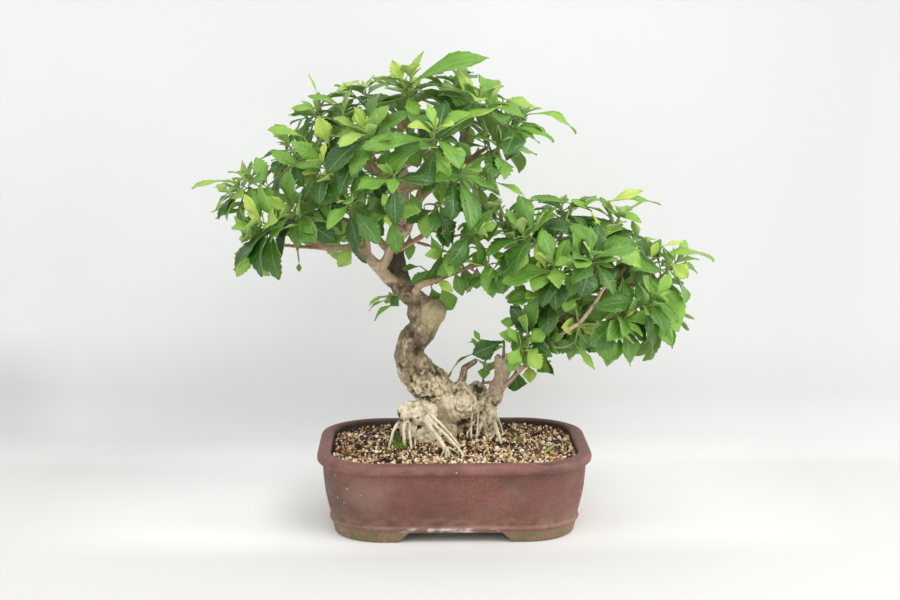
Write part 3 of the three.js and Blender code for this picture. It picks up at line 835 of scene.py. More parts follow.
def grain_places(points):
    """Two places across the stem and one along it for each point, in millimetres."""
    best = np.full(len(points), 1e9)
    found = np.zeros((len(points), 3))
    for number, course in enumerate(COURSES):
        run = 100.0 * number
        for start, end in zip(course, course[1:]):
            start, end = np.array(start, float), np.array(end, float)
            length = np.linalg.norm(end - start)
            heading = (end - start) / length
            along = np.clip((points - start) @ heading, 0, length)
            away = points - start - along[:, None] * heading
            far = np.linalg.norm(away, axis=1)
            first = np.cross(heading, (0.0, 1.0, 0.0))
            first /= np.linalg.norm(first)
            second = np.cross(heading, first)
            near = far < best
            best[near] = far[near]
            found[near] = np.stack([away @ first, away @ second, run + along], axis=1)[near]
            run += length
    return found


# %% Features of the wood
# Picture places with a radius in millimetres: ringed scars, lumps and hollows, which are pushed in and
# painted dark as shade. A lump, sawn or healed, also has its height and how pink it is. Then come spots
# painted dark as shade, on the trunk's left flank below the bend and between the roots, and the calm bark
# between the scars.
SCARS = [((424.3, 384.5), 12.5), ((464, 401), 10.5)]
LUMPS = [
    ((433, 407), 5.5, 2.2, 1.0), ((420, 364), 3.5, 1.4, 0.6), ((424, 360), 2.6, 1.2, 0.5),
    ((464, 401), 6.0, 2.0, 1.0), ((399, 410), 4.5, 1.5, 0.5), ((441, 392), 3.0, 1.2, 0.6),
    ((456, 414), 4.0, 1.6, 0.7), ((452, 384), 4, 1.3, 0.0), ((409, 402), 6.0, 1.6, 0.4),
    ((423, 400), 4.0, 1.8, 0.8), ((474, 384), 4.5, 1.6, 0.0), ((420, 422), 4.0, 1.8, 0.6),
    ((404, 416), 3.6, 1.5, 0.7), ((413, 411), 3.0, 1.4, 0.6), ((482, 402), 3.0, 1.2, 0.3),
    ((498, 357), 3.0, 1.2, 0.5), ((502, 361), 3.0, 1.2, 0.5), ((497, 365), 2.5, 1.0, 0.5),
]
HOLLOWS = [((411.5, 334.5), 3.2), ((417.5, 351), 3.6), ((398, 415.5), 3.6), ((422, 397), 3.0),
           ((428, 398.5), 3.0), ((416, 396), 2.4), ((463, 422), 5.0), ((480, 391), 2.6), ((475, 386), 2.0),
           ((476, 396), 3.0), ((418.5, 427), 2.6), ((448, 366), 2.4), ((411, 420), 2.0)]
PAINTED_SHADE_SPOTS = [((408, 326), 13), ((418, 342), 7), ((486, 430), 4.5), ((493, 424), 3), ((478, 430), 3)]
CALM = [((444, 413), 14)]
BEND = place(-15, -9, 200)


def nearness(points, spot, radius, power=2):
    """1 at the place of the wood that a picture place shows, falling to 0 beyond a radius."""
    centre = np.array(seen_on(wood_surface, *spot)[0])
    far = np.linalg.norm(points - centre, axis=1) / MM
    return np.exp(-((far / radius) ** power)), far, centre


def ridged(value):
    """A noise value from -1 to 1 as sharp-crested ridges from 0 to 1."""
    return 1 - min(abs(value) * 2.4, 1.0)


def knobs(spot, size):
    """Rounded knobs in a third of the cells of a space filled with cells."""
    distances, centres = noise.voronoi(spot / size)
    chosen = draw(round(centres[0].x, 2), round(centres[0].y, 2), 91)
    return max(0.0, 1 - (distances[0] / 0.55) ** 2) * max(0.0, chosen - 0.55) * 2.2


# %% Bark relief
def bark_relief(points, grain, kinds):
    """How far each point moves out, in millimetres, and the fine part of that."""
    push, fine = np.zeros(len(points)), np.zeros(len(points))
    names = ("rough", "old", "bare", "mass", "calm", "thick")
    for index, point in enumerate(points):
        spot = Vector(point) / MM
        across, around, along = grain[index]
        rough, old, bare, mass, calm, girth = (kinds[name][index] for name in names)
        warp = 1.5 * noise.noise(spot * 0.11)
        fibre = ridged(noise.noise(Vector((across * 0.2 + warp, around * 0.2 + warp, along * 0.045))))
        thread = noise.noise(Vector((across * 0.55, around * 0.55, along * 0.13 + warp)))
        wrinkle = noise.noise(Vector((across * 0.07, around * 0.07, along * 0.62 + warp)))
        fold = noise.noise(Vector((spot.x * 0.1, spot.y * 0.1, spot.z * 0.34 + warp)))
        crumb = noise.fractal(spot * 0.33, 1.0, 2.0, 3)
        gnarled = 1.5 * (fibre - 0.45) + 0.7 * thread + 1.0 * crumb + 1.9 * knobs(spot, 9.0)
        detail = old * gnarled * (1 - 0.8 * calm)
        detail += rough * (1 - old) * (0.42 * wrinkle + 0.5 * (fibre - 0.5) + 0.3 * crumb)
        detail += mass * (1.1 * fold + 0.5 * crumb)
        detail += (0.24 * wrinkle + 0.2 * thread) * (1 - rough) * min(girth / 8, 1)
        swell = (1.5 * old + 0.3 * (1 - bare)) * noise.fractal(spot * 0.09, 1.0, 2.0, 2)
        fine[index] = detail
        push[index] = detail + swell * min(girth / 10, 1)
    for spot, radius in SCARS:
        _, far, centre = nearness(points, spot, radius)
        wobble = np.array([noise.noise(Vector(point - centre) / MM * 0.16) for point in points])
        far = far * (1 + 0.4 * wobble)
        ring = lambda where, width: np.exp(-(((far - where) / width) ** 2))
        lips = ring(radius, 1.6) + 0.35 * ring(radius * 0.55, 1.0)
        grooves = ring(radius + 2.4, 1.0) + 0.4 * ring(radius * 0.78, 0.8)
        scar = (1.3 * lips - 1.3 * grooves) * np.clip(0.8 + 1.5 * wobble, 0.3, 1.2)
        push += scar
        fine += scar
    for spot, radius, height, _ in LUMPS:
        dome = nearness(points, spot, radius, 4)[0] * height
        push += dome
        fine += dome * 0.5
    for spot, radius in HOLLOWS:
        pit = nearness(points, spot, radius)[0]
        push -= 2.4 * pit
        fine -= 2.5 * pit
    return push, fine


# %% Kinds of wood
def wood_kinds(points, girth):
    """How far each point is of each kind of wood: 0 to 1 each. Only thick is in millimetres."""
    x, y, height = ((points - np.array(FOOT)) / MM).T
    spots = np.array([noise.noise(Vector(point) / MM * 0.075) for point in points])
    bend = np.exp(-((np.linalg.norm(points - np.array(BEND), axis=1) / (17 * MM)) ** 4))
    root = ramp(girth, 10, 6) * ramp(height, 122, 108)
    second_stem = ramp(x, 30, 38) * ramp(height, 108, 132)
    limb = np.maximum(ramp(girth, 17, 13) * ramp(height, 212, 226), second_stem * 0.8)
    twig = ramp(girth, 6.5, 4) * ramp(height, 150, 175)
    old = ramp(girth, 6, 14) * ramp(height, 166, 140) * (1 - second_stem)
    front = ramp(-y, -16, 2) * ramp(height, 132, 112) * (1 - second_stem)
    mass = ramp(-x, 18, 26) * ramp(height, 119, 110) * ramp(girth, 5, 10)
    bare = np.clip(np.maximum(root, 0.6 * front * ramp(spots + x * -0.006, -0.15, 0.2)), 0, 1)
    bare = np.maximum(bare, 0.75 * mass)
    rough = ramp(girth, 5, 12) * (1 - 0.75 * bend) * (1 - 0.8 * limb) * (1 - root)
    # Painted shade: the back of the thick upper wood, the listed spots and the hollows get a dark share.
    dark = ramp(height, 218, 232) * ramp(girth, 12, 16) * ramp(y, 2, 12)
    for spot, radius in PAINTED_SHADE_SPOTS:
        dark = np.maximum(dark, 0.7 * nearness(points, spot, radius)[0])
    for spot, radius in HOLLOWS:
        dark = np.maximum(dark, nearness(points, spot, radius * 1.1)[0])
    calm = np.max([nearness(points, spot, radius, 4)[0] for spot, radius in CALM], axis=0)
    pink = np.zeros(len(points))
    for spot, radius, _, share in LUMPS:
        pink = np.maximum(pink, share * nearness(points, spot, radius, 4)[0])
    return {
        "rough": rough, "old": old * (1 - mass), "bare": bare * lerp(0.6, 1.0, ramp(height, 64, 82)),
        "bend": bend, "limb": limb, "twig": twig, "dark": dark, "calm": calm, "mass": mass, "pink": pink,
        "cream": ramp(height, 150, 122) * ramp(girth, 5, 12) * (1 - second_stem), "thick": girth,
    }


# %% Bark finish
WOOD_LAYERS = ("bare", "bend", "limb", "twig", "cream", "dark", "calm", "pink", "relief")


def make_bark():
    finish = Finish("pale_bark", Roughness=0.82)
    where = finish.where()
    shares = {name: finish.attribute(name) for name in WOOD_LAYERS}
    clouds = finish.noise(where, 70, 4)
    flecks = finish.noise(where, 300, 4, (1, 1, 0.5))
    grit = finish.noise(where, 620, 3, (1, 1, 0.6))
    # The relief steers the colour: painted shade in the crevices and painted highlight on the crests.
    mixed = clouds * 0.35 + flecks * 0.4 + grit * 0.25 + (shares["relief"] - 0.5) * 0.4
    brown = [(0.34, (0.06, 0.043, 0.027)), (0.43, (0.15, 0.105, 0.062)), (0.53, (0.31, 0.235, 0.148)),
             (0.64, (0.56, 0.46, 0.33))]
    cream = [(0.34, (0.085, 0.06, 0.03)), (0.42, (0.27, 0.2, 0.105)), (0.5, (0.52, 0.43, 0.265)),
             (0.62, (0.81, 0.72, 0.5))]
    algae = finish.between(finish.noise(where, 38, 3), 0.54, 0.68) * (1 - shares["bare"]) * 0.4
    colour = finish.coats(finish.colours(mixed, brown), [
        (shares["cream"], finish.colours(mixed, cream)),
        (algae, (0.2, 0.19, 0.07)),
        (shares["bend"] * 0.9, finish.blend(mixed, 0.36, 0.6, (0.29, 0.23, 0.11), (0.52, 0.44, 0.25))),
        (shares["calm"] * 0.8, finish.blend(mixed, 0.36, 0.62, (0.42, 0.33, 0.19), (0.66, 0.56, 0.37))),
        (shares["limb"], finish.blend(mixed, 0.36, 0.62, (0.36, 0.24, 0.15), (0.68, 0.53, 0.38))),
        (shares["twig"], finish.blend(flecks, 0.4, 0.7, (0.3, 0.17, 0.085), (0.5, 0.34, 0.2))),
        (shares["bare"], finish.blend(mixed, 0.34, 0.56, (0.42, 0.33, 0.17), (0.88, 0.8, 0.6))),
        (shares["pink"] * finish.between(flecks, 0.3, 0.6), (0.75, 0.57, 0.44)),
        # Painted shade: the deepest crevices are nearly black.
        (finish.between(shares["relief"], 0.36, 0.16) * 0.85, (0.05, 0.034, 0.018)),
        # Painted shade: the dark share darkens hollows, shaded flanks, gaps between the roots and the back of
        # the upper wood.
        (shares["dark"] * 0.85, (0.05, 0.04, 0.028)),
    ])
    pits = finish.noise(where, 800, 3) + finish.cells(where, 380) * 0.7
    rough = 0.92 - 0.25 * shares["bare"] - 0.25 * shares["bend"]
    return finish.set(Base_Color=colour, Roughness=rough, Normal=finish.bump(pits, 0.5, 0.7))


BARK = make_bark()


# %% [markdown]
# Two bared roots at the front run a little further left than the model's, and one at the far right lies under
# the soil. So those parts of the copy are eased over by a few millimetres before the bark is raised.


# %% Wood piece
def ease_roots(points):
    x, y, height = ((points - np.array(FOOT)) / MM).T
    front = ramp(x, -44, -24) * ramp(x, 34, 26) * ramp(-y, 6, 16) * ramp(height, 118, 110)
    front = front * lerp(0.45, 1.0, ramp(height, 76, 104))
    buried = ramp(x, 43, 54) * ramp(height, 104, 94)
    moved = points.copy()
    moved[:, 0] -= 12 * MM * front
    moved[:, 2] -= 16 * MM * buried
    return moved


def make_wood():
    mesh = smooth_wood()
    girth = measure_girth(mesh)
    mesh.vertices.foreach_set("co", ease_roots(positions(mesh)).ravel())
    mesh.update()
    points, normals = positions(mesh), positions(mesh, "normal")
    kinds = wood_kinds(points, girth)
    grain = grain_places((points - np.array(FOOT)) / MM)
    push, fine = bark_relief(points, grain, kinds)
    points = points + normals * ((push + 0.3) * MM)[:, None]
    mesh.vertices.foreach_set("co", points.ravel())
    mesh.update()
    # The fine relief is kept for the colour, which paints shade into crevices and highlight onto crests.
    kinds["relief"] = np.clip(0.5 + fine * 0.26, 0, 1)
    for name in WOOD_LAYERS:
        write_attribute(mesh, name, kinds[name])
    print("girth in mm from", round(float(girth.min()), 1), "to", round(float(girth.max()), 1))
    finish_piece("bark_clad_wood", mesh, [BARK], [WOOD_NODE])


make_wood()

# %% [markdown]
# ## Shoots and leaves
# A duranta carries its leaves in crossed pairs on short green shoots: small, folded and yellow-green at the
# tip, larger, darker and more arched lower down. The places of the shoots are the model's, and so is the
# rule that turns each leaf. The rule made several tries for a leaf that had no room, so each try's tip is
# looked up among the points of the model's solid, which tells which try was kept.

# %% The model's shoots
CROWN = {"middle": (-52, 5, 322), "half": (150, 115, 90), "lift": 0.7, "droop": (0.75, 0.1), "size": 1}
PAD = {"middle": (108, 0, 232), "half": (92, 84, 62), "lift": 0.7, "droop": (0.75, 0.1), "size": 1}
BASE = {"middle": (30, 12, 150), "half": (50, 50, 50), "lift": 0.5, "droop": (0.4, 0.1), "size": 0.95}
SPROUT = {"middle": (-20, 4, 212), "half": (40, 40, 40), "lift": -0.2, "droop": (0.4, 0.2), "size": 0.6}
SHOOTS = [
    (CROWN, 4, [
        (-204, -15, 325), (-190, -40, 280), (-40, -5, 426), (-18, -88, 382), (22, -35, 408), (66, 0, 393),
        (-78, -65, 378), (-55, -98, 342, 0.86), (-150, -58, 305), (-155, 0, 362), (-4, -40, 264, 0.7)]),
    (CROWN, 3, [
        (-104, -10, 395), (4, 20, 426), (-98, -85, 318), (44, -30, 368), (-130, 30, 390), (-84, 30, 415),
        (-60, -78, 306, 0.7), (-104, -30, 280, 0.62), (-176, -62, 296, 1.12), (-120, -62, 350), (7, -72, 345),
        (-13, -62, 312, 0.8), (22, -45, 284, 0.85), (-160, 55, 318), (-112, 88, 362), (-52, 82, 394),
        (6, 80, 393), (54, 55, 373), (26, 95, 329), (-24, 115, 339), (-80, 118, 329), (-124, 90, 296)]),
    (PAD, 4, [
        (212, -10, 252), (186, -50, 224), (90, -62, 258), (158, -52, 204), (206, 10, 202),
        (30, -40, 252, 0.7), (66, -40, 184)]),
    (PAD, 3, [
        (159, 5, 296), (137, -32, 280), (104, 15, 303), (116, -34, 196), (124, -70, 266), (63, -42, 282),
        (42, -8, 298), (80, -45, 228), (182, 50, 261), (142, 75, 266), (92, 75, 268), (165, 65, 219)]),
    (BASE, 2, [(63, -45, 174), (31, 2, 159)]),
    (SPROUT, 2, [(-72, -14, 219)]),
]
LEAF = {"oldest": 54, "youngest": 27, "slenderness": 0.46, "fold": 16, "tries": 6}


def list_shoots():
    """Every shoot of the model, in millimetres from the middle of the pot's foot."""
    shoots = []
    for mass, pairs, tips in SHOOTS:
        for x, y, z, scale in [(*tip, 1)[:4] for tip in tips]:
            number, tip = len(shoots), Vector((x, y, z))
            outward = [(tip[axis] - mass["middle"][axis]) / mass["half"][axis] for axis in range(3)]
            outward = Vector(outward).normalized()
            direction = (outward + UP * mass["lift"]).normalized()
            length = lerp(15, 27, draw(number, 0, 1))
            rise = 0.5 + 0.6 * (z - mass["middle"][2]) / mass["half"][2]
            shoots.append({
                "number": number, "pairs": pairs, "scale": scale, "outward": outward, "direction": direction,
                "length": length, "foot": tip - direction * length,
                "droop": lerp(*mass["droop"], min(max(rise, 0), 1)),
                "size": mass["size"] * scale * lerp(0.88, 1.1, draw(number, 0, 2)),
                "turn": 360 * draw(number, 0, 3), "fresh": draw(number, 0, 71) > 0.6,
            })
    return shoots


# %% How a leaf is turned
def leaf_pose(shoot, number, attempt):
    """One leaf of the model: its root, directions, length, width and bend."""
    pair = number // 2
    age = 1 - pair / (shoot["pairs"] - 1)
    sway = [swing(shoot["number"], number, 10 + purpose + 10 * attempt) for purpose in range(5)]
    around = math.radians(shoot["turn"] + 90 * pair + 180 * (number % 2) + sway[0] * (14 + 9 * attempt))
    lean = math.radians(lerp(34, 88, age) + sway[1] * (9 + 4 * attempt))
    length = lerp(LEAF["youngest"], LEAF["oldest"], age) * shoot["size"]
    return pose(shoot, around, lean, age, -shoot["droop"] * age, {
        "root": shoot["foot"] + shoot["direction"] * shoot["length"] * lerp(0.94, 0.42, age),
        "length": length * (1 + 0.12 * sway[2]) * 0.96**attempt,
        "width": LEAF["slenderness"] * (1 + 0.14 * sway[3]),
        "bend": math.radians(lerp(14, 44, age) + 14 * sway[4]),
    })


def spoke(direction, around):
    """The way out of a stem at an angle around it."""
    first = Vector((0.31, -0.9, 0.31)).cross(direction).normalized()
    return first * math.cos(around) + direction.cross(first) * math.sin(around)


def pose(shoot, around, lean, age, sink, leaf):
    """Adds a leaf's directions: around and away from its stem, sinking a little, facing the light."""
    direction, outward = shoot["direction"], spoke(shoot["direction"], around)
    along = (direction * math.cos(lean) + outward * math.sin(lean) + UP * sink).normalized()
    face = UP * 0.8 + shoot["outward"] + outward * 0.15
    face = (face - along * face.dot(along)).normalized()
    return {**leaf, "along": along, "face": face, "side": along.cross(face), "age": age}


def midrib_point(leaf, share):
    """A point on the arched midrib."""
    bent = leaf["bend"] * share
    reach = leaf["length"] * math.sin(bent) / leaf["bend"]
    drop = leaf["length"] * (1 - math.cos(bent)) / leaf["bend"]
    return leaf["root"] + leaf["along"] * reach - leaf["face"] * drop


def find_leaf(shoot, number, corners):
    """The try that the model kept for this leaf, or None if it was left out."""
    same_point = 0.06 * MM
    for attempt in range(LEAF["tries"]):
        leaf = leaf_pose(shoot, number, attempt)
        if corners.find(place(*midrib_point(leaf, 1)))[2] < same_point:
            return leaf
    return None


# %% [markdown]
# ## A leaf blade
# One blade is drawn flat first, on a grid: across it goes from edge to edge, along it from the stalk to the
# tip, with rows set closer where the teeth are. Solidify gives it an underside. Each leaf is then this same
# grid, bent by a formula: an arch along the midrib, a soft fold across it, a wave along the edge, a groove
# over the midrib and a ridge under it.

# %% Blade templates
TOOTH = 0.105
FIRST_TOOTH = 0.5
TEETH = 4


def blade_rows(stalk_rows, tip_rows):
    """Rows along a blade: the stalk's, a valley and a peak for every tooth, and the tip's."""
    rows = list(stalk_rows)
    for tooth in range(TEETH):
        start = FIRST_TOOTH + tooth * TOOTH
        rows += [start, start + TOOTH * 0.76]
    return rows + tip_rows


def blade_template(name, rows, columns):
    """A flat closed blade whose corners hold (share along, share across, 0 on top or 1 below)."""
    flat = bmesh.new()
    bmesh.ops.create_grid(flat, x_segments=len(rows) - 1, y_segments=len(columns) - 1, size=0.5)
    for vertex in flat.verts:
        row = round((vertex.co.x + 0.5) * (len(rows) - 1))
        column = round((vertex.co.y + 0.5) * (len(columns) - 1))
        vertex.co = Vector((rows[row], columns[column], 0))
    bmesh.ops.recalc_face_normals(flat, faces=flat.faces)
    if sum(face.normal.z for face in flat.faces) <= 0:
        bmesh.ops.reverse_faces(flat, faces=flat.faces)
    bmesh.ops.solidify(flat, geom=flat.faces[:], thickness=0.1)
    middle = sum(vertex.co.z for vertex in flat.verts) / len(flat.verts)
    for vertex in flat.verts:
        vertex.co.z = 0 if vertex.co.z > middle else 1
    print(name, len(flat.faces), "faces")
    return mesh_of(name, flat)


FINE_BLADE = blade_template("fine_blade", blade_rows([0, 0.06, 0.14, 0.26, 0.39], [0.93, 1.0]),
                            [-1, -0.42, 0, 0.42, 1])
LIGHT_BLADE = blade_template("light_blade", blade_rows([0, 0.1, 0.24, 0.39], [1.0]), [-1, 0, 1])
BUD_BLADE = blade_template("bud_blade", [0, 0.2, 0.45, 0.7, 0.88, 1.0], [-1, 0, 1])


# %% Outline and relief of a blade
def half_width(share, tooth_depth):
    """The half width along a blade, as a share of its widest, with forward-pointing teeth."""
    swell = ramp(share, 0.05, 0.6) ** 1.1
    taper = np.clip(1 - (np.clip(share - 0.55, 0, 1) / 0.45) ** 1.75, 0.012, 1)
    phase = np.mod((share - FIRST_TOOTH) / TOOTH, 1)
    saw = np.where(phase < 0.78, phase / 0.78, (1 - phase) / 0.22) - 0.5
    toothed = (share > FIRST_TOOTH - 0.02) & (share < 0.93)
    return (0.05 + swell) * taper / 1.01 * (1 + np.where(toothed, tooth_depth * saw, 0))


def bend_blade(template, leaf, seed):
    """The corners of one leaf in metres."""
    along, across, below = positions(template).T
    length, bend = leaf["length"], leaf["bend"]
    shift = 0.018 * swing(seed, 1, 51) * np.sin(math.pi * along)
    width = length * leaf["width"] / 2 * half_width(along + shift, leaf.get("teeth", 0.26))
    out = across * np.maximum(width, 0.12)
    stalk = ramp(along, 0.16, 0.04)
    wave = length * 0.034 * np.sin(math.tau * (1.5 * along + draw(seed, 2, 51)) + 0.9 * np.sign(across))
    fold = math.sin(math.radians(leaf.get("fold", LEAF["fold"])))
    lift = fold * (np.sqrt(out**2 + 1.4) - math.sqrt(1.4)) + wave * across**2 * ramp(along, 0.2, 0.5)
    rib = np.exp(-((out / 0.75) ** 2)) * (1 - stalk)
    lift -= rib * 0.3
    lift += (1 - across**2) * 0.35 * stalk
    lift -= below * (0.34 + 0.55 * rib * (1 - along) + 0.8 * stalk * (1 - across**2))
    twist = math.radians(22) * swing(seed, 3, 51) * along**1.5
    bent = bend * along
    normal = np.outer(np.cos(bent), leaf["face"]) + np.outer(np.sin(bent), leaf["along"])
    sideways = np.outer(np.ones_like(along), leaf["side"])
    turned_out = out * np.cos(twist) - lift * np.sin(twist)
    turned_up = out * np.sin(twist) + lift * np.cos(twist)
    spine = np.array(leaf["root"]) + np.outer(length * np.sin(bent) / bend, leaf["along"])
    spine -= np.outer(length * (1 - np.cos(bent)) / bend, leaf["face"])
    points = spine + sideways * turned_out[:, None] + normal * turned_up[:, None]
    return points * MM + np.array(FOOT), along, across, below


# %% [markdown]
# ## Leaf finishes
# The blade's own shares along and across it carry the veins, so the pattern follows every bend. Age sets the
# colour, from the yellow-green of a new leaf to a deep glossy green. The underside is paler and matt, and is
# brightened further with painted light, as if light shone through the leaf.


# %% Leaf and green stem finishes
def make_leaf_finish():
    finish = Finish("toothed_leaf", Specular_IOR_Level=0.48, Subsurface_Weight=0.25, Subsurface_Scale=0.0015,
                    Subsurface_Radius=(0.7, 1.0, 0.25))
    where = finish.where()
    age, tint = finish.attribute("age"), finish.attribute("tint")
    along, across = finish.attribute("along"), abs(finish.attribute("across"))
    below = finish.attribute("below")
    stops = [(0.0, (0.57, 0.7, 0.14)), (0.22, (0.38, 0.57, 0.085)), (0.5, (0.2, 0.41, 0.05)),
             (0.78, (0.09, 0.225, 0.026)), (1.0, (0.035, 0.11, 0.015))]
    blotch = finish.noise(where, 120, 3)
    top = finish.colours(age + (tint - 0.5) * 0.34 + (blotch - 0.5) * 0.3, stops)
    steps = finish.add("ShaderNodeMath", {0: along * 8.5 - across * 1.5}, operation="FRACT")
    vein = finish.between(abs(steps - 0.5), 0.09, 0.0) * finish.between(across, 1.0, 0.7)
    vein = vein * finish.between(along, 0.12, 0.25)
    rib = finish.between(across, 0.055, 0.015)
    lines = finish.add("ShaderNodeMath", {0: vein * 0.16, 1: rib * 0.55}, operation="MAXIMUM")
    top = finish.mix(lines, top, (0.36, 0.48, 0.15))
    top = finish.mix(finish.between(across, 0.9, 1.0) * 0.35, top, (0.34, 0.46, 0.1))
    # The underside is paler, and brightened further as painted light shining through the leaf.
    underside_and_painted_glow = finish.mix(age, (0.52, 0.64, 0.22), (0.24, 0.4, 0.1))
    underside_and_painted_glow = finish.mix(lines, underside_and_painted_glow, (0.45, 0.52, 0.25))
    colour = finish.mix(below, top, underside_and_painted_glow)
    rough = 0.3 + 0.12 * finish.between(blotch, 0.3, 0.7) + 0.25 * below
    quilt = finish.between(abs(steps - 0.5), 0.0, 0.3) * finish.between(across, 0.02, 0.2)
    relief = quilt * (1 - below * 1.6) + finish.noise(where, 1400, 2) * 0.12
    return finish.set(Base_Color=colour, Roughness=rough, Normal=finish.bump(relief, 0.3, 0.6))


def make_stem_finish():
    finish = Finish("green_stem", Roughness=0.55)
    where = finish.where()
    age = finish.attribute("age")
    patches = finish.noise(where, 300, 3)
    green = finish.blend(patches, 0.4, 0.65, (0.17, 0.27, 0.06), (0.26, 0.36, 0.1))
    woody = finish.blend(patches, 0.4, 0.65, (0.24, 0.18, 0.1), (0.34, 0.27, 0.17))
    colour = finish.blend(age, 0.6, 1.0, green, woody)
    return finish.set(Base_Color=colour, Normal=finish.bump(patches, 0.2, 0.6))


LEAF_FINISH = make_leaf_finish()
STEM_FINISH = make_stem_finish()
LEAF_LAYERS = ("age", "tint", "along", "across", "below")


# %% [markdown]
# A leaf's tone runs from 0 for a new leaf to 1 for an old one. Only some of the shoots are in fresh growth,
# and the leaves of a few listed shoots are paler throughout.


# %% Adding one leaf to a spray
PALER = {0: 0.16, 1: 0.24, 8: 0.12, 19: 0.2}


def tone_of(shoot, leaf, seed):
    fresh = 0.3 * (1 - leaf["age"]) if shoot["fresh"] else 0
    fresh += PALER.get(shoot["number"], 0)
    return min(max(lerp(0.5, 0.9, leaf["age"]) - fresh + 0.12 * swing(seed, 5, 51), 0), 1)


def open_spray():
    spray = bmesh.new()
    for name in LEAF_LAYERS:
        spray.verts.layers.float.new(name)
    return spray


def add_leaf(spray, template, leaf, seed, tone):
    points, along, across, below = bend_blade(template, leaf, seed)
    start = len(spray.verts)
    spray.from_mesh(template)
    spray.verts.ensure_lookup_table()
    layers = [spray.verts.layers.float[name] for name in LEAF_LAYERS]
    tint = draw(seed, 4, 51)
    for index, values in enumerate(zip(points, along, across, below)):
        vertex = spray.verts[start + index]
        vertex.co = values[0]
        for layer, value in zip(layers, (tone, tint, *values[1:])):
            vertex[layer] = value


# %% [markdown]
# ## Stems
# A green stem is a tube that swells a little at each pair of leaves. A ring is drawn and extruded from
# station to station, and both ends are closed.


# %% Tubes along a path
def add_tube(spray, path, radii, ages, sides=6, material=1):
    """A closed tube through points in millimetres from the middle of the pot's foot."""
    heading = (path[-1] - path[0]).normalized()
    first = heading.orthogonal().normalized()
    second = heading.cross(first)
    turns = [math.tau * side / sides for side in range(sides)]
    circle = [first * math.cos(turn) + second * math.sin(turn) for turn in turns]
    layer = spray.verts.layers.float.get("age")
    ring = [spray.verts.new(place(*(path[0] + out * radii[0]))) for out in circle]
    for vertex in ring:
        vertex[layer] = ages[0]
    edges = [spray.edges.new(pair) for pair in zip(ring, ring[1:] + ring[:1])]
    faces = [spray.faces.new(ring[::-1])]
    for centre, radius, age in zip(path[1:], radii[1:], ages[1:]):
        edges, moved, walls = extruded(spray, edges)
        faces += walls
        for vertex, out in zip(moved, circle):
            vertex.co = place(*(centre + out * radius))
            vertex[layer] = age
    faces += bmesh.ops.contextual_create(spray, geom=edges)["faces"]
    bmesh.ops.recalc_face_normals(spray, faces=faces)
    for face in faces:
        face.material_index = material


# %% [markdown]
# ## Fine roots, stubs and twigs
# Besides the roots of the model there are many thin ones, as thick as a straw. Each is given by the picture
# places it passes, from the wood down to the soil, with its radius at both ends. The thin bare twigs of the
# second stem and its two knobbly stubs are given the same way, with their depth behind the pot's middle.

# %% Thin wood
# Picture places on the way, the radius at the start and the end, and the depth where the root leaves another
# root and not the wood. A twig's places each have their own depth.
FINE_ROOTS = [
    ([(474, 409.8), (471.5, 417), (471.3, 424)], 1.5, 0.9),
    ([(477.5, 411), (478, 417), (477, 423)], 1.1, 0.8),
    ([(486, 419), (488.5, 427), (491.5, 437)], 0.9, 0.6), ([(468.5, 430), (467, 434), (469, 438)], 0.8, 0.6),
    ([(484, 429), (487.5, 437), (491, 440)], 0.8, 0.5), ([(400.5, 426), (396, 429), (393.5, 434)], 0.9, 0.7),
    ([(404, 424), (402.5, 433), (404, 445)], 0.8, 0.6), ([(417, 424), (415, 436), (414, 446)], 0.7, 0.5),
    ([(428, 421), (431, 428), (433, 436)], 1.0, 0.7), ([(481, 414), (483, 420), (482, 427)], 0.8, 0.5),
    ([(441, 431), (449, 440), (458, 449)], 0.7, 0.5),
    ([(446, 446), (442, 454), (439.5, 459)], 0.8, 0.5, -47),
    ([(447, 447), (446, 455), (445.5, 460)], 0.8, 0.5, -47),
    ([(447, 447), (449, 455), (450.5, 460)], 0.8, 0.5, -47),
    ([(447, 447), (451, 454), (455, 458)], 0.8, 0.5, -47),
    ([(447, 447), (455, 451), (461, 454)], 0.7, 0.5, -47),
    ([(495, 423), (499, 433), (497, 441)], 0.7, 0.5), ([(471, 424), (468, 428), (465, 430)], 0.7, 0.5),
    ([(421, 404), (437, 420.5), (452, 436.5), (463.5, 450)], 1.7, 1.3),
    ([(418.5, 408), (430, 418), (437, 428), (440, 436)], 2.8, 2.3),
]
TWIGS = [
    ([(501, 390, 10), (511, 381, 2), (521, 370, -8), (527, 366, -16)], 1.9, 1.2),
    ([(503, 368, 6), (515, 369, -4), (527, 366, -16)], 2.2, 1.4),
    ([(527, 366, -16), (524, 357, -30), (521, 346, -45)], 1.3, 0.8),
    ([(527, 366, -16), (548, 346, -34), (561, 334, -44), (579, 324, -50)], 2.2, 2.0),
    ([(579, 324, -50), (594, 305, -52), (602, 291, -50), (611, 279, -42)], 2.0, 1.2),
    ([(561, 334, -44), (552, 346, -40), (566, 347, -42), (577, 340, -44)], 1.2, 0.7),
    ([(594, 305, -52), (604, 303, -50), (614, 301, -44)], 1.0, 0.6),
    ([(554, 328, -30), (549, 336, -32), (545, 347, -32)], 1.3, 1.3),
    ([(396, 253, -8), (410, 245, -26), (423, 238, -44)], 1.1, 0.8),
    ([(440, 235, -40), (443, 231, -40), (444, 226, -41)], 1.1, 0.8),
    ([(441, 234, -40), (447, 233, -42), (454, 230.5, -44)], 0.6, 0.4),
    ([(500, 366, 6), (498.5, 361, 4), (498, 355, 2)], 3.0, 1.9),
    ([(503, 363, 6), (505.5, 359, 2), (507, 354, 0)], 2.2, 1.4),
]


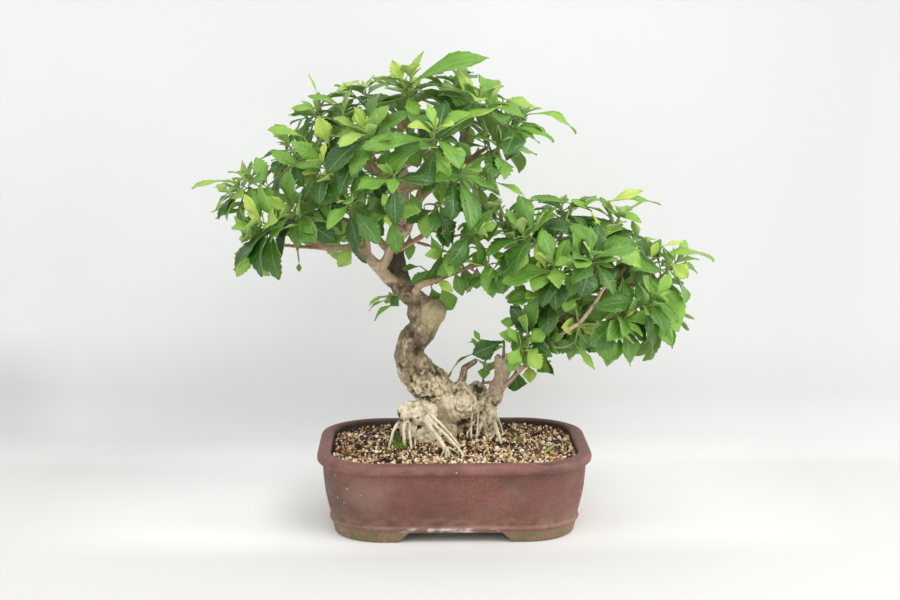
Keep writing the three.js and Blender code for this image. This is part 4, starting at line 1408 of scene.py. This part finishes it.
def rounded(way):
    """Nine points along a smooth bent line through the given ones."""
    found = []
    for step in range(9):
        share = step / 8 * (len(way) - 1)
        index = min(int(share), len(way) - 2)
        before, after = way[max(index - 1, 0)], way[min(index + 2, len(way) - 1)]
        straight = way[index].lerp(way[index + 1], share - index)
        pull = (way[index] - before + way[index + 1] - after) * 0.25
        found.append(straight + pull * (share - index) * (1 - share + index))
    return found


def make_fine_wood():
    wood = open_spray()

    def add_way(way, start, end, sides=6):
        add_tube(wood, rounded(way), [lerp(start, end, step / 8) for step in range(9)], [0.5] * 9, sides, 0)

    for path, start, end, *depth in FINE_ROOTS:
        first, normal = seen_on(wood_surface, *path[0])
        first = in_view(*path[0], *depth) if depth else (first - normal * MM - FOOT) / MM
        last = (seen_on(soil_surface, *path[-1])[0] - FOOT) / MM
        between = lerp(depth_of(place(*first)), depth_of(place(*last)), 0.6)
        add_way([first, *(in_view(*spot, between) for spot in path[1:-1]), last - UP * 1.5], start, end)
    for path, start, end in TWIGS:
        add_way([in_view(*spot) for spot in path], start, end, sides=8)
    mesh = mesh_of("fine_wood", wood)
    low = ramp(positions(mesh)[:, 2] - FOOT.z, 0.112, 0.108)
    shares = {"bare": low, "limb": 1 - low, "relief": np.full(len(low), 0.5)}
    for name in WOOD_LAYERS:
        write_attribute(mesh, name, shares.get(name, np.zeros(len(low))))
    finish_piece("fine_roots_and_twigs", mesh, [BARK])


make_fine_wood()

# %% [markdown]
# ## More leaves than the model needs
# The solids carry the leaves that make the outline. The real crown is fuller, so each shoot also gets what
# grows between them: three tiny leaves at its tip and, where its leaves have their full size, two side
# shoots near its foot. A side leaf is only kept where it is clear of the leaves around it.


# %% Keeping leaves apart
# Places where the photograph shows the wall through the foliage: left, top, right and bottom.
OPEN_PLACES = [
    (375, 237, 386, 263), (411, 239, 431, 262), (447, 221, 461, 245), (327, 207, 349, 219),
    (343, 58, 372, 84), (258, 106, 290, 124), (258, 134, 282, 152), (200, 168, 226, 182),
    (212, 234, 234, 268), (252, 264, 260, 288), (286, 250, 318, 290), (497, 150, 540, 186),
    (528, 140, 566, 162), (626, 208, 664, 232), (690, 283, 712, 334),
]
# A few leaves of the model hide what the photograph shows beside them. Each turns about its foot, so that
# its tip comes to a picture place: shoot, leaf, and the place.
TURNED = {
    (0, 3): (226, 220), (0, 5): (243, 177), (0, 7): (238, 180), (1, 1): (268, 272), (1, 5): (240, 236),
    (1, 7): (244, 239), (2, 5): (374, 80), (2, 6): (413, 63), (2, 7): (403, 64), (5, 2): (545, 133),
    (5, 4): (528, 108), (5, 5): (514, 104), (5, 6): (512, 97), (5, 7): (542, 108), (12, 3): (436, 78),
    (12, 4): (460, 67), (12, 5): (474, 72), (14, 0): (504, 180), (14, 2): (537, 155), (16, 4): (338, 92),
    (16, 5): (380, 79), (19, 0): (279, 280), (21, 2): (495, 190), (28, 1): (519, 173), (29, 2): (495, 176),
    (34, 0): (650, 360), (34, 3): (666, 336), (36, 0): (588, 346), (38, 1): (503, 294), (39, 0): (549, 373),
    (39, 2): (552, 357), (39, 3): (519, 316), (40, 2): (615, 212), (40, 5): (602, 205), (42, 4): (549, 199),
    (42, 5): (565, 199), (47, 2): (506, 302), (52, 1): (509, 372), (53, 1): (483, 379), (54, 1): (399, 306),
    (54, 3): (372, 300), (44, 1): (580, 298), (35, 1): (556, 311), (8, 1): (299, 247), (1, 2): (267, 268),
}


def turned_leaf(shoot, number, leaf):
    spot = TURNED.get((shoot["number"], number))
    if not spot:
        return leaf
    old = midrib_point(leaf, 1)
    new = in_view(*spot, depth_of(place(*old)))
    turn = (old - leaf["root"]).rotation_difference(new - leaf["root"])
    ratio = (new - leaf["root"]).length / (old - leaf["root"]).length
    ways = {name: turn @ leaf[name] for name in ("along", "side", "face")}
    width = leaf["width"] / max(ratio, 0.6) ** 0.5
    return {**leaf, **ways, "length": leaf["length"] * ratio, "width": width}


def seen_through(point):
    across, down = picture_place(point)
    return any(left < across < right and top < down < low for left, top, right, low in OPEN_PLACES)


class Neighbours:
    """Coarse strips of all the leaves placed so far."""

    def __init__(self):
        self.strips = []

    def strip(self, leaf):
        corners = []
        for share, reach in ((0.15, 0.08), (0.4, 0.7), (0.6, 1.0), (0.8, 0.8), (1.0, 0.05)):
            middle = midrib_point(leaf, share)
            out = leaf["side"] * leaf["length"] * leaf["width"] / 2 * reach
            corners += [middle - out, middle + out]
        faces = [(k, k + 1, k + 3, k + 2) for k in range(0, 8, 2)]
        return BVHTree.FromPolygons(corners, faces), sum(corners, Vector()) / len(corners), leaf["length"]

    def add(self, leaf):
        self.strips.append(self.strip(leaf))

    def clear(self, leaf):
        tree, middle, length = self.strip(leaf)
        # Strips that are further apart than about half their lengths can't touch.
        for other, where, size in self.strips:
            if (middle - where).length < 0.62 * (length + size) and tree.overlap(other):
                return False
        wood = wood_surface.find_nearest(place(*middle))
        tip = wood_surface.find_nearest(place(*midrib_point(leaf, 1)))
        if any(seen_through(midrib_point(leaf, share)) for share in (0.2, 0.5, 0.75, 1)):
            return False
        return wood[3] > 3 * MM and tip[3] > 2 * MM


def side_shoots(shoot):
    """Short side branches near the foot of a shoot. Shoots with reduced leaves have none."""
    made = []
    for branch in range(2 if shoot["scale"] > 0.9 else 0):
        number = 100 * shoot["number"] + branch
        around = math.radians(shoot["turn"] + 75 + 180 * branch + 35 * swing(number, 0, 61))
        lean = math.radians(lerp(50, 78, draw(number, 1, 61)))
        direction, outward = shoot["direction"], spoke(shoot["direction"], around)
        heading = (direction * math.cos(lean) + outward * math.sin(lean) + UP * 0.2).normalized()
        made.append({
            "number": number, "pairs": 3, "outward": shoot["outward"], "direction": heading,
            "foot": shoot["foot"] + direction * shoot["length"] * lerp(0.05, 0.3, draw(number, 2, 61)),
            "length": lerp(9, 20, draw(number, 3, 61)), "droop": shoot["droop"] * 0.8,
            "size": shoot["size"] * lerp(0.78, 1.0, draw(number, 4, 61)),
            "turn": 360 * draw(number, 5, 61), "fresh": shoot["fresh"],
        })
    return made


# %% Tiny leaves at a shoot's tip
def bud_leaves(shoot):
    leaves = []
    tip = shoot["foot"] + shoot["direction"] * shoot["length"]
    for number in range(3):
        seed = 1000 + 10 * shoot["number"] + number
        around = shoot["turn"] + 45 + 90 * (number // 2) + 180 * (number % 2) + 20 * swing(seed, 0, 62)
        lean = lerp(20, 42, draw(seed, 1, 62)) + 6 * number
        leaves.append((pose(shoot, math.radians(around), math.radians(lean), 0.0, 0, {
            "root": tip - shoot["direction"] * (1 + number // 2 * 1.5),
            "length": shoot["size"] * lerp(8, 17, draw(seed, 2, 62)), "width": 0.3,
            "bend": math.radians(lerp(10, 30, draw(seed, 3, 62))), "fold": 34, "teeth": 0.1,
        }), seed))
    return leaves


# %% One spray
def add_stem(spray, shoot, radius, start, seed):
    """A green stem with a slight knee at every pair."""
    shares = [step / 6 for step in range(7)]
    bow = shoot["direction"].orthogonal().normalized() * 0.6 * swing(seed, 1, 63)
    path, radii = [], []
    for step, share in enumerate(shares):
        reach = lerp(start, shoot["length"], share)
        path.append(shoot["foot"] + shoot["direction"] * reach + bow * math.sin(math.pi * share))
        radii.append(radius * lerp(1.0, 0.55, share) * (1.14 if step % 2 else 1))
    add_tube(spray, path, radii, [lerp(0.75, 0.0, share) for share in shares])


def make_spray(shoot, leaves, neighbours):
    """The finished spray of one shoot: the model's leaves, the side shoots and the buds."""
    spray = open_spray()
    add_stem(spray, shoot, 1.45, -0.6, shoot["number"])
    for number, leaf in leaves:
        seed = 100 * shoot["number"] + number
        add_leaf(spray, FINE_BLADE, leaf, seed, tone_of(shoot, leaf, seed))
    extra = 0
    for side in side_shoots(shoot) if shoot["pairs"] > 2 else []:
        kept = []
        for number in range(2 * side["pairs"]):
            tries = (leaf_pose(side, number, attempt) for attempt in range(5))
            leaf = next(filter(neighbours.clear, tries), None)
            if leaf:
                neighbours.add(leaf)
                kept.append((number, leaf))
        if len(kept) > 1:
            add_stem(spray, side, 0.9, -0.3, side["number"])
            for number, leaf in kept:
                seed = 7 * side["number"] + number
                add_leaf(spray, LIGHT_BLADE, leaf, seed, tone_of(side, leaf, seed) + 0.12)
            extra += len(kept)
    for leaf, seed in bud_leaves(shoot):
        add_leaf(spray, BUD_BLADE, leaf, seed, lerp(0.1, 0.4, draw(seed, 4, 62)))
    ending = "%02d" % (shoot["number"] + 1)
    replaced = ["leafy_shoot_" + ending]
    finish_piece("toothed_spray_" + ending, spray, [LEAF_FINISH, STEM_FINISH], replaced)
    return extra


# %% All sprays
def corners_of(name):
    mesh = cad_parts[name].data
    tree = KDTree(len(mesh.vertices))
    for vertex in mesh.vertices:
        tree.insert(vertex.co, vertex.index)
    tree.balance()
    return tree


def make_sprays():
    shoots = list_shoots()
    found = []
    neighbours = Neighbours()
    for shoot in shoots:
        corners = corners_of("leafy_shoot_%02d" % (shoot["number"] + 1))
        leaves = [(number, find_leaf(shoot, number, corners)) for number in range(2 * shoot["pairs"])]
        leaves = [(number, turned_leaf(shoot, number, leaf)) for number, leaf in leaves if leaf]
        for _, leaf in leaves:
            neighbours.add(leaf)
        found.append(leaves)
    seen = sum(make_seen_spray(name, *group, neighbours) for name, group in SEEN_LEAVES.items())
    extra = sum(make_spray(shoot, leaves, neighbours) for shoot, leaves in zip(shoots, found))
    print("leaves from the model", sum(len(leaves) for leaves in found), "and", seen, "and", extra, "more")


# %% [markdown]
# ## Leaves read off the photograph
# Rules make a crown that looks alive, but not this crown. So its most telling leaves are placed one by one:
# the long ones that break the outline, and those around the openings beside the trunk. Each is written down
# by the picture places of its root and tip. A twig joins its group to the nearest wood, so nothing hangs in
# the air.

# %% The leaves that the photograph shows best
# Each group: its node (across, down, depth), and its leaves as root across and down, tip across and down,
# depth of the tip, how much of its face it shows, width as a share of its length, bend in degrees, and tone.
SEEN_LEAVES = {
    "left_edge": ((272, 190, -12), [
        (251, 190, 192, 189, -15, 0.3, 0.15, 75, 0.35), (254, 202, 212, 212, -10, 0.45, 0.26, 25, 0.45),
        (256, 206, 215, 218, -22, 0.2, 0.2, 15, 0.45), (269, 188, 228, 171, -5, 0.3, 0.22, 30, 0.35),
        (266, 190, 232, 178, -20, 0.15, 0.25, 30, 0.35)]),
    "left_hanging": ((262, 205, -24), [
        (262, 205, 245, 241, -32, 0.9, 0.5, 50, 0.6), (258, 232, 237, 277, -22, 0.85, 0.42, 35, 0.42)]),
    "left_drop": ((297, 247, -22), [(299, 262, 299, 272, -22, 0.8, 0.55, 15, 0.8)]),
    "left_shoulder": ((320, 106, 0), [
        (318, 94, 309, 74, 0, 0.5, 0.13, 10, 0.1), (321, 109, 291, 109, -5, 0.5, 0.34, 25, 0.3),
        (342, 105, 308, 96, -8, 0.4, 0.26, 25, 0.4), (318, 114, 303, 126, 2, 0.4, 0.4, 20, 0.8),
        (332, 94, 359, 81, -4, 0.45, 0.32, 25, 0.15)]),
    "left_face": ((310, 152, -35), [
        (304, 137, 267, 130, -25, 0.5, 0.32, 40, 0.5), (326, 164, 290, 142, -55, 0.7, 0.36, 40, 0.4),
        (330, 147, 318, 116, -50, 0.9, 0.5, 15, 0.1), (306, 171, 270, 152, -40, 0.6, 0.35, 40, 0.55),
        (268, 186, 256, 157, -20, 0.85, 0.48, 20, 0.6)]),
    "top": ((405, 91, -5), [
        (409, 85, 489, 57, -25, 0.55, 0.24, 48, 0.66), (404, 86, 392, 60, -12, 0.9, 0.5, 20, 0.12),
        (406, 78, 424, 51, 0, 0.5, 0.2, 10, 0.3), (408, 89, 420, 77, 8, 0.9, 0.5, 10, 0.2),
        (392, 88, 370, 80, -10, 0.4, 0.3, 20, 0.25)]),
    "top_right": ((500, 124, -8), [
        (448, 82, 468, 111, -24, 0.8, 0.42, 40, 0.45), (501, 121, 479, 74, -18, 0.8, 0.3, 25, 0.45),
        (503, 99, 534, 108, -15, 0.45, 0.4, 35, 0.4), (530, 114, 576, 134, 0, 0.35, 0.26, 80, 0.45),
        (514, 127, 554, 142, -10, 0.4, 0.28, 50, 0.45), (512, 131, 540, 143, -18, 0.2, 0.28, 40, 0.4),
        (495, 133, 506, 150, -30, 0.85, 0.5, 20, 0.35), (495, 182, 525, 195, -20, 0.5, 0.22, 30, 0.5)]),
    "crown_face": ((434, 141, -84), [
        (436, 139, 502, 106, -62, 0.15, 0.16, 30, 0.4), (432, 139, 360, 149, -95, 0.55, 0.26, 35, 0.7),
        (435, 150, 449, 183, -84, 0.85, 0.42, 35, 0.55), (404, 143, 417, 167, -66, 0.9, 0.42, 30, 0.8),
        (387, 143, 385, 171, -66, 0.9, 0.5, 30, 0.75)]),
    "crown_skirt": ((392, 176, -66), [
        (393, 174, 345, 202, -80, 0.3, 0.22, 40, 0.3), (359, 172, 316, 176, -74, 0.3, 0.25, 25, 0.3),
        (394, 186, 400, 210, -60, 0.9, 0.6, 20, 0.6), (409, 190, 419, 215, -56, 0.9, 0.5, 25, 0.65)]),
    "over_opening": ((436, 205, -42), [
        (424, 205, 427, 239, -46, 0.9, 0.5, 25, 0.5), (438, 202, 450, 226, -42, 0.85, 0.42, 25, 0.6),
        (430, 234, 440, 258, -38, 0.7, 0.4, 30, 0.4), (441, 226, 448, 248, -30, 0.7, 0.4, 20, 0.7)]),
    "behind_opening": ((411, 230, 2), [(410, 231, 409, 260, -2, 0.85, 0.4, 20, 0.65)]),
    "right_of_trunk": ((480, 251, -24), [
        (471, 247, 437, 276, -30, 0.85, 0.5, 30, 0.6), (486, 258, 493, 298, -45, 0.9, 0.5, 30, 0.5),
        (489, 249, 507, 264, -45, 0.6, 0.4, 30, 0.45), (477, 266, 476, 289, -15, 0.9, 0.6, 25, 0.8),
        (462, 262, 470, 292, -12, 0.9, 0.5, 25, 0.75), (454, 270, 463, 296, -25, 0.85, 0.5, 30, 0.7)]),
    "over_the_gap": ((500, 206, -16), [
        (498, 204, 461, 247, -20, 0.75, 0.42, 45, 0.55), (509, 229, 473, 244, -35, 0.35, 0.3, 30, 0.4)]),
    "behind_bend": ((437, 281, -10), [
        (438, 268, 409, 286, -8, 0.6, 0.32, 35, 0.75), (420, 266, 402, 269, -5, 0.5, 0.4, 15, 0.8),
        (436, 279, 453, 292, -30, 0.7, 0.4, 25, 0.3), (431, 286, 439, 311, 8, 0.9, 0.75, 30, 0.85),
        (441, 286, 452, 310, 2, 0.9, 0.7, 30, 0.65)]),
    "pad_top": ((609, 203, 5), [
        (609, 202, 643, 191, 0, 0.55, 0.3, 25, 0.15), (611, 201, 661, 205, 10, 0.2, 0.2, 40, 0.3),
        (609, 212, 642, 222, -10, 0.5, 0.3, 30, 0.4)]),
    "pad_face": ((583, 257, -42), [
        (586, 252, 641, 240, -40, 0.45, 0.28, 35, 0.6), (580, 264, 569, 297, -60, 0.9, 0.6, 30, 0.6),
        (584, 265, 614, 267, -50, 0.35, 0.25, 35, 0.5)]),
    "pad_right": ((649, 264, -10), [
        (650, 259, 658, 242, -12, 0.85, 0.5, 10, 0.05), (657, 258, 714, 261, -5, 0.35, 0.24, 75, 0.4),
        (663, 246, 684, 242, -5, 0.4, 0.32, 30, 0.1), (670, 262, 688, 278, -15, 0.85, 0.75, 25, 0.3),
        (648, 259, 661, 239, 0, 0.7, 0.42, 25, 0.6), (649, 277, 679, 332, -25, 0.85, 0.6, 40, 0.4),
        (634, 279, 650, 317, -35, 0.85, 0.42, 35, 0.6), (619, 286, 623, 309, -45, 0.8, 0.45, 25, 0.35),
        (655, 317, 672, 346, -38, 0.8, 0.4, 25, 0.5), (640, 250, 621, 262, -52, 0.8, 0.75, 25, 0.45)]),
    "pad_ridge": ((572, 205, 4), [
        (570, 203, 531, 198, 0, 0.4, 0.3, 20, 0.75), (592, 211, 571, 200, 0, 0.4, 0.45, 25, 0.6),
        (579, 207, 600, 199, 0, 0.4, 0.4, 25, 0.55), (565, 222, 593, 243, -50, 0.5, 0.36, 30, 0.5)]),
    "pad_foot": ((579, 326, -50), [
        (575, 344, 595, 370, -52, 0.6, 0.25, 20, 0.4), (579, 332, 591, 348, -56, 0.9, 0.9, 15, 0.75),
        (602, 324, 608, 362, -58, 0.9, 0.55, 20, 0.6), (612, 340, 607, 367, -50, 0.8, 0.45, 25, 0.65),
        (572, 290, 565, 312, -62, 0.9, 0.7, 20, 0.35)]),
    "second_stem": ((521, 346, -45), [
        (520, 347, 510, 366, -50, 0.9, 0.78, 20, 0.4), (526, 346, 541, 369, -50, 0.9, 0.62, 25, 0.38),
        (520, 346, 507, 326, -48, 0.8, 0.34, 20, 0.4), (526, 344, 547, 329, -48, 0.85, 0.56, 25, 0.45)]),
    "pad_left": ((526, 243, -40), [
        (526, 245, 516, 271, -56, 0.9, 0.6, 20, 0.4), (507, 258, 503, 294, -48, 0.9, 0.55, 20, 0.65)]),
    "under_left": ((356, 243, -20), [(353, 247, 338, 267, -28, 0.9, 0.65, 20, 0.3)]),
    "base_left": ((504, 342, 0), [
        (503, 341, 472, 355, -5, 0.85, 0.6, 35, 0.85), (477, 352, 448, 377, 0, 0.2, 0.12, 60, 0.75),
        (481, 343, 474, 330, 5, 0.8, 0.4, 15, 0.5), (481, 343, 468, 342, 5, 0.2, 0.15, 20, 0.6)]),
    "base_right": ((521, 367, 4), [
        (516, 368, 516, 391, 25, 0.9, 0.7, 20, 0.85), (529, 365, 530, 383, -20, 0.85, 0.6, 15, 0.2),
        (551, 361, 537, 372, -15, 0.7, 0.6, 25, 0.55)]),
    "trunk_sprig": ((395, 301, -14), [
        (388, 299, 368, 311, -18, 0.2, 0.16, 45, 0.6), (397, 304, 374, 321, -20, 0.3, 0.2, 75, 0.6),
        (392, 298, 389, 292, -16, 0.8, 0.5, 10, 0.6)]),
}


def aimed_leaf(root, tip, facing, width, bend):
    """A leaf between two points in millimetres. It faces up for 0 and the viewer for 1."""
    toward_viewer = VIEW_TURN @ Vector((0, -1, 0))
    course = (tip - root).normalized()
    face = UP * (1 - facing) + toward_viewer * facing
    face = (face - course * face.dot(course)).normalized()
    half = math.radians(bend) / 2
    along = course * math.cos(half) + face * math.sin(half)
    up = face * math.cos(half) - course * math.sin(half)
    return {"root": root, "along": along, "face": up, "side": along.cross(up), "width": width,
            "length": (tip - root).length * half / math.sin(half), "bend": math.radians(bend)}


def bowed(start, end, sag):
    """Five points from start to end that sag a little."""
    return [start.lerp(end, step / 4) - UP * sag * math.sin(math.pi * step / 4) for step in range(5)]


def make_seen_spray(name, node, leaves, neighbours):
    spray = open_spray()
    knot = in_view(*node)
    wood = wood_surface.find_nearest(place(*knot))[0]
    wood = (wood - FOOT) / MM
    if (wood - knot).length > 2:
        add_tube(spray, bowed(wood, knot, 2), [1.7, 1.5, 1.4, 1.3, 1.2], [1, 0.95, 0.9, 0.85, 0.7])
    for number, (across, down, tip_across, tip_down, depth, facing, width, bend, tone) in enumerate(leaves):
        seed = 9000 + 17 * int(node[0]) + number
        root = in_view(across, down, lerp(node[2], depth, 0.3))
        leaf = aimed_leaf(root, in_view(tip_across, tip_down, depth), facing, width, bend)
        neighbours.add(leaf)
        if (root - knot).length > 2:
            add_tube(spray, bowed(knot, root, -1), [1.1, 1, 0.9, 0.8, 0.7], [0.7, 0.6, 0.5, 0.4, 0.3])
        add_leaf(spray, FINE_BLADE, leaf, seed, tone)
    finish_piece("spray_" + name, spray, [LEAF_FINISH, STEM_FINISH])
    return len(leaves)


make_sprays()

# %% [markdown]
# ## Floor, backdrop and light
# The object was photographed on white paper in very soft daylight, with the paper bent up close behind it. So
# the world gives most of the light, and four large weak lamps shape it: it comes mostly from the right. Light
# and shade are also painted into the paper: painted light close to the pot, against the shadows there, and
# painted shade towards its right edge, so that it doesn't burn out there, high on its left, along its fold
# and in its far left corner. Its back is clear, so that it hides nothing when the bonsai is looked at from
# behind.


# %% Paper sheet
def make_paper():
    finish = Finish("white_paper", Roughness=0.9)
    where = finish.where()
    side, back, height = (finish.axis(where, name) for name in "XYZ")
    fibre = finish.noise(where, 3, 3)
    white = finish.blend(fibre, 0.35, 0.65, (0.735, 0.74, 0.735), (0.75, 0.755, 0.75))
    on_wall, high = finish.between(height, 0.0, 0.04), finish.between(height, 0.02, 0.5)
    # Painted shade: the paper is greyed towards its right edge, most on the wall, and a little high on the
    # left.
    greyed_as_painted_shade = finish.between(side, 0.05, 0.45) * (0.3 + 0.1 * on_wall + 0.6 * high)
    greyed_as_painted_shade = greyed_as_painted_shade + 0.14 * high * finish.between(side, 0.05, -0.2)
    # Painted light: the floor and the wall close to the pot are painted lighter, against the shadows that
    # fall there.
    painted_light_near_pot = finish.between(side, -0.42, -0.2) * finish.between(side, 0.38, 0.0)
    painted_light_near_pot = painted_light_near_pot * finish.between(back, -0.14, -0.07) * finish.between(height, 0.5, 0.2)
    # Painted shade: a faint darker band over the paper's bend into the wall.
    painted_fold_shade = finish.between(height, 0.0, 0.02) * finish.between(height, 0.14, 0.06)
    # Painted shade: the low wall at the far left, where the corner lies in shade, is darker.
    painted_corner_shade = finish.between(side, -0.42, -0.49) * finish.between(height, 0.0, 0.03)
    painted_corner_shade = painted_corner_shade * finish.between(height, 0.14, 0.08)
    paper = finish.coats(finish.mix(on_wall, (0.75, 0.738, 0.72), white), [
        (greyed_as_painted_shade, (0.565, 0.57, 0.57)),
        (painted_light_near_pot, finish.mix(on_wall, (0.95, 0.945, 0.93), (0.8, 0.805, 0.8))),
        (painted_fold_shade * 0.42, (0.57, 0.57, 0.565)),
        (painted_corner_shade * 0.5, (0.5, 0.5, 0.49)),
    ])
    clear_back = 1 - finish.add("ShaderNodeNewGeometry", output="Backfacing")
    return finish.set(Base_Color=paper, Alpha=clear_back)


def make_backdrop():
    sheet = bmesh.new()
    edges = [sheet.edges.new([sheet.verts.new((end * 4.0, -3.0, 0)) for end in (-1, 1)])]
    corner, foot, top = 0.07, 0.2 + FOOT.y, 3.2
    turns = [math.pi / 2 * step / 12 for step in range(13)]
    bent = [(foot + corner * math.sin(turn), corner * (1 - math.cos(turn))) for turn in turns]
    for depth, height in bent + [(foot + corner, top)]:
        edges, moved, _ = extruded(sheet, edges)
        for vertex in moved:
            vertex.co.y, vertex.co.z = depth, height
    bmesh.ops.reverse_faces(sheet, faces=sheet.faces[:])
    loose_object("paper_sheet", sheet, [make_paper()])


make_backdrop()


# %% Lamps and world
def add_lamp(name, location, target, size, power, colour):
    data = bpy.data.lights.new(name, "AREA")
    data.shape = "DISK"
    data.size = size
    data.energy = power
    data.color = colour
    lamp = bpy.data.objects.new(name, data)
    lamp.location = location
    lamp.rotation_euler = (Vector(target) - Vector(location)).to_track_quat("-Z", "Y").to_euler()
    bpy.context.scene.collection.objects.link(lamp)


add_lamp("soft_key", (0.85, -1.25, 1.75), (0, 0, 0.2), 0.95, 10.8, (1.0, 0.985, 0.955))
add_lamp("soft_front", (0.25, -1.8, 1.45), (0, 0, 0.2), 1.6, 6, (1.0, 0.99, 0.97))
add_lamp("soft_side", (1.5, -0.6, 0.75), (0, 0, 0.2), 0.8, 9.6, (1.0, 0.99, 0.97))
add_lamp("soft_left", (-1.4, -1.3, 1.0), (0, 0, 0.2), 1.5, 5.6, (0.96, 0.98, 1.0))
world = bpy.data.worlds.new("studio")
world.use_nodes = True
world.node_tree.nodes["Background"].inputs["Color"].default_value = (0.97, 0.985, 1.0, 1)
world.node_tree.nodes["Background"].inputs["Strength"].default_value = 0.93
bpy.context.scene.world = world
bpy.context.scene.view_settings.view_transform = "Standard"
print("lamps placed")
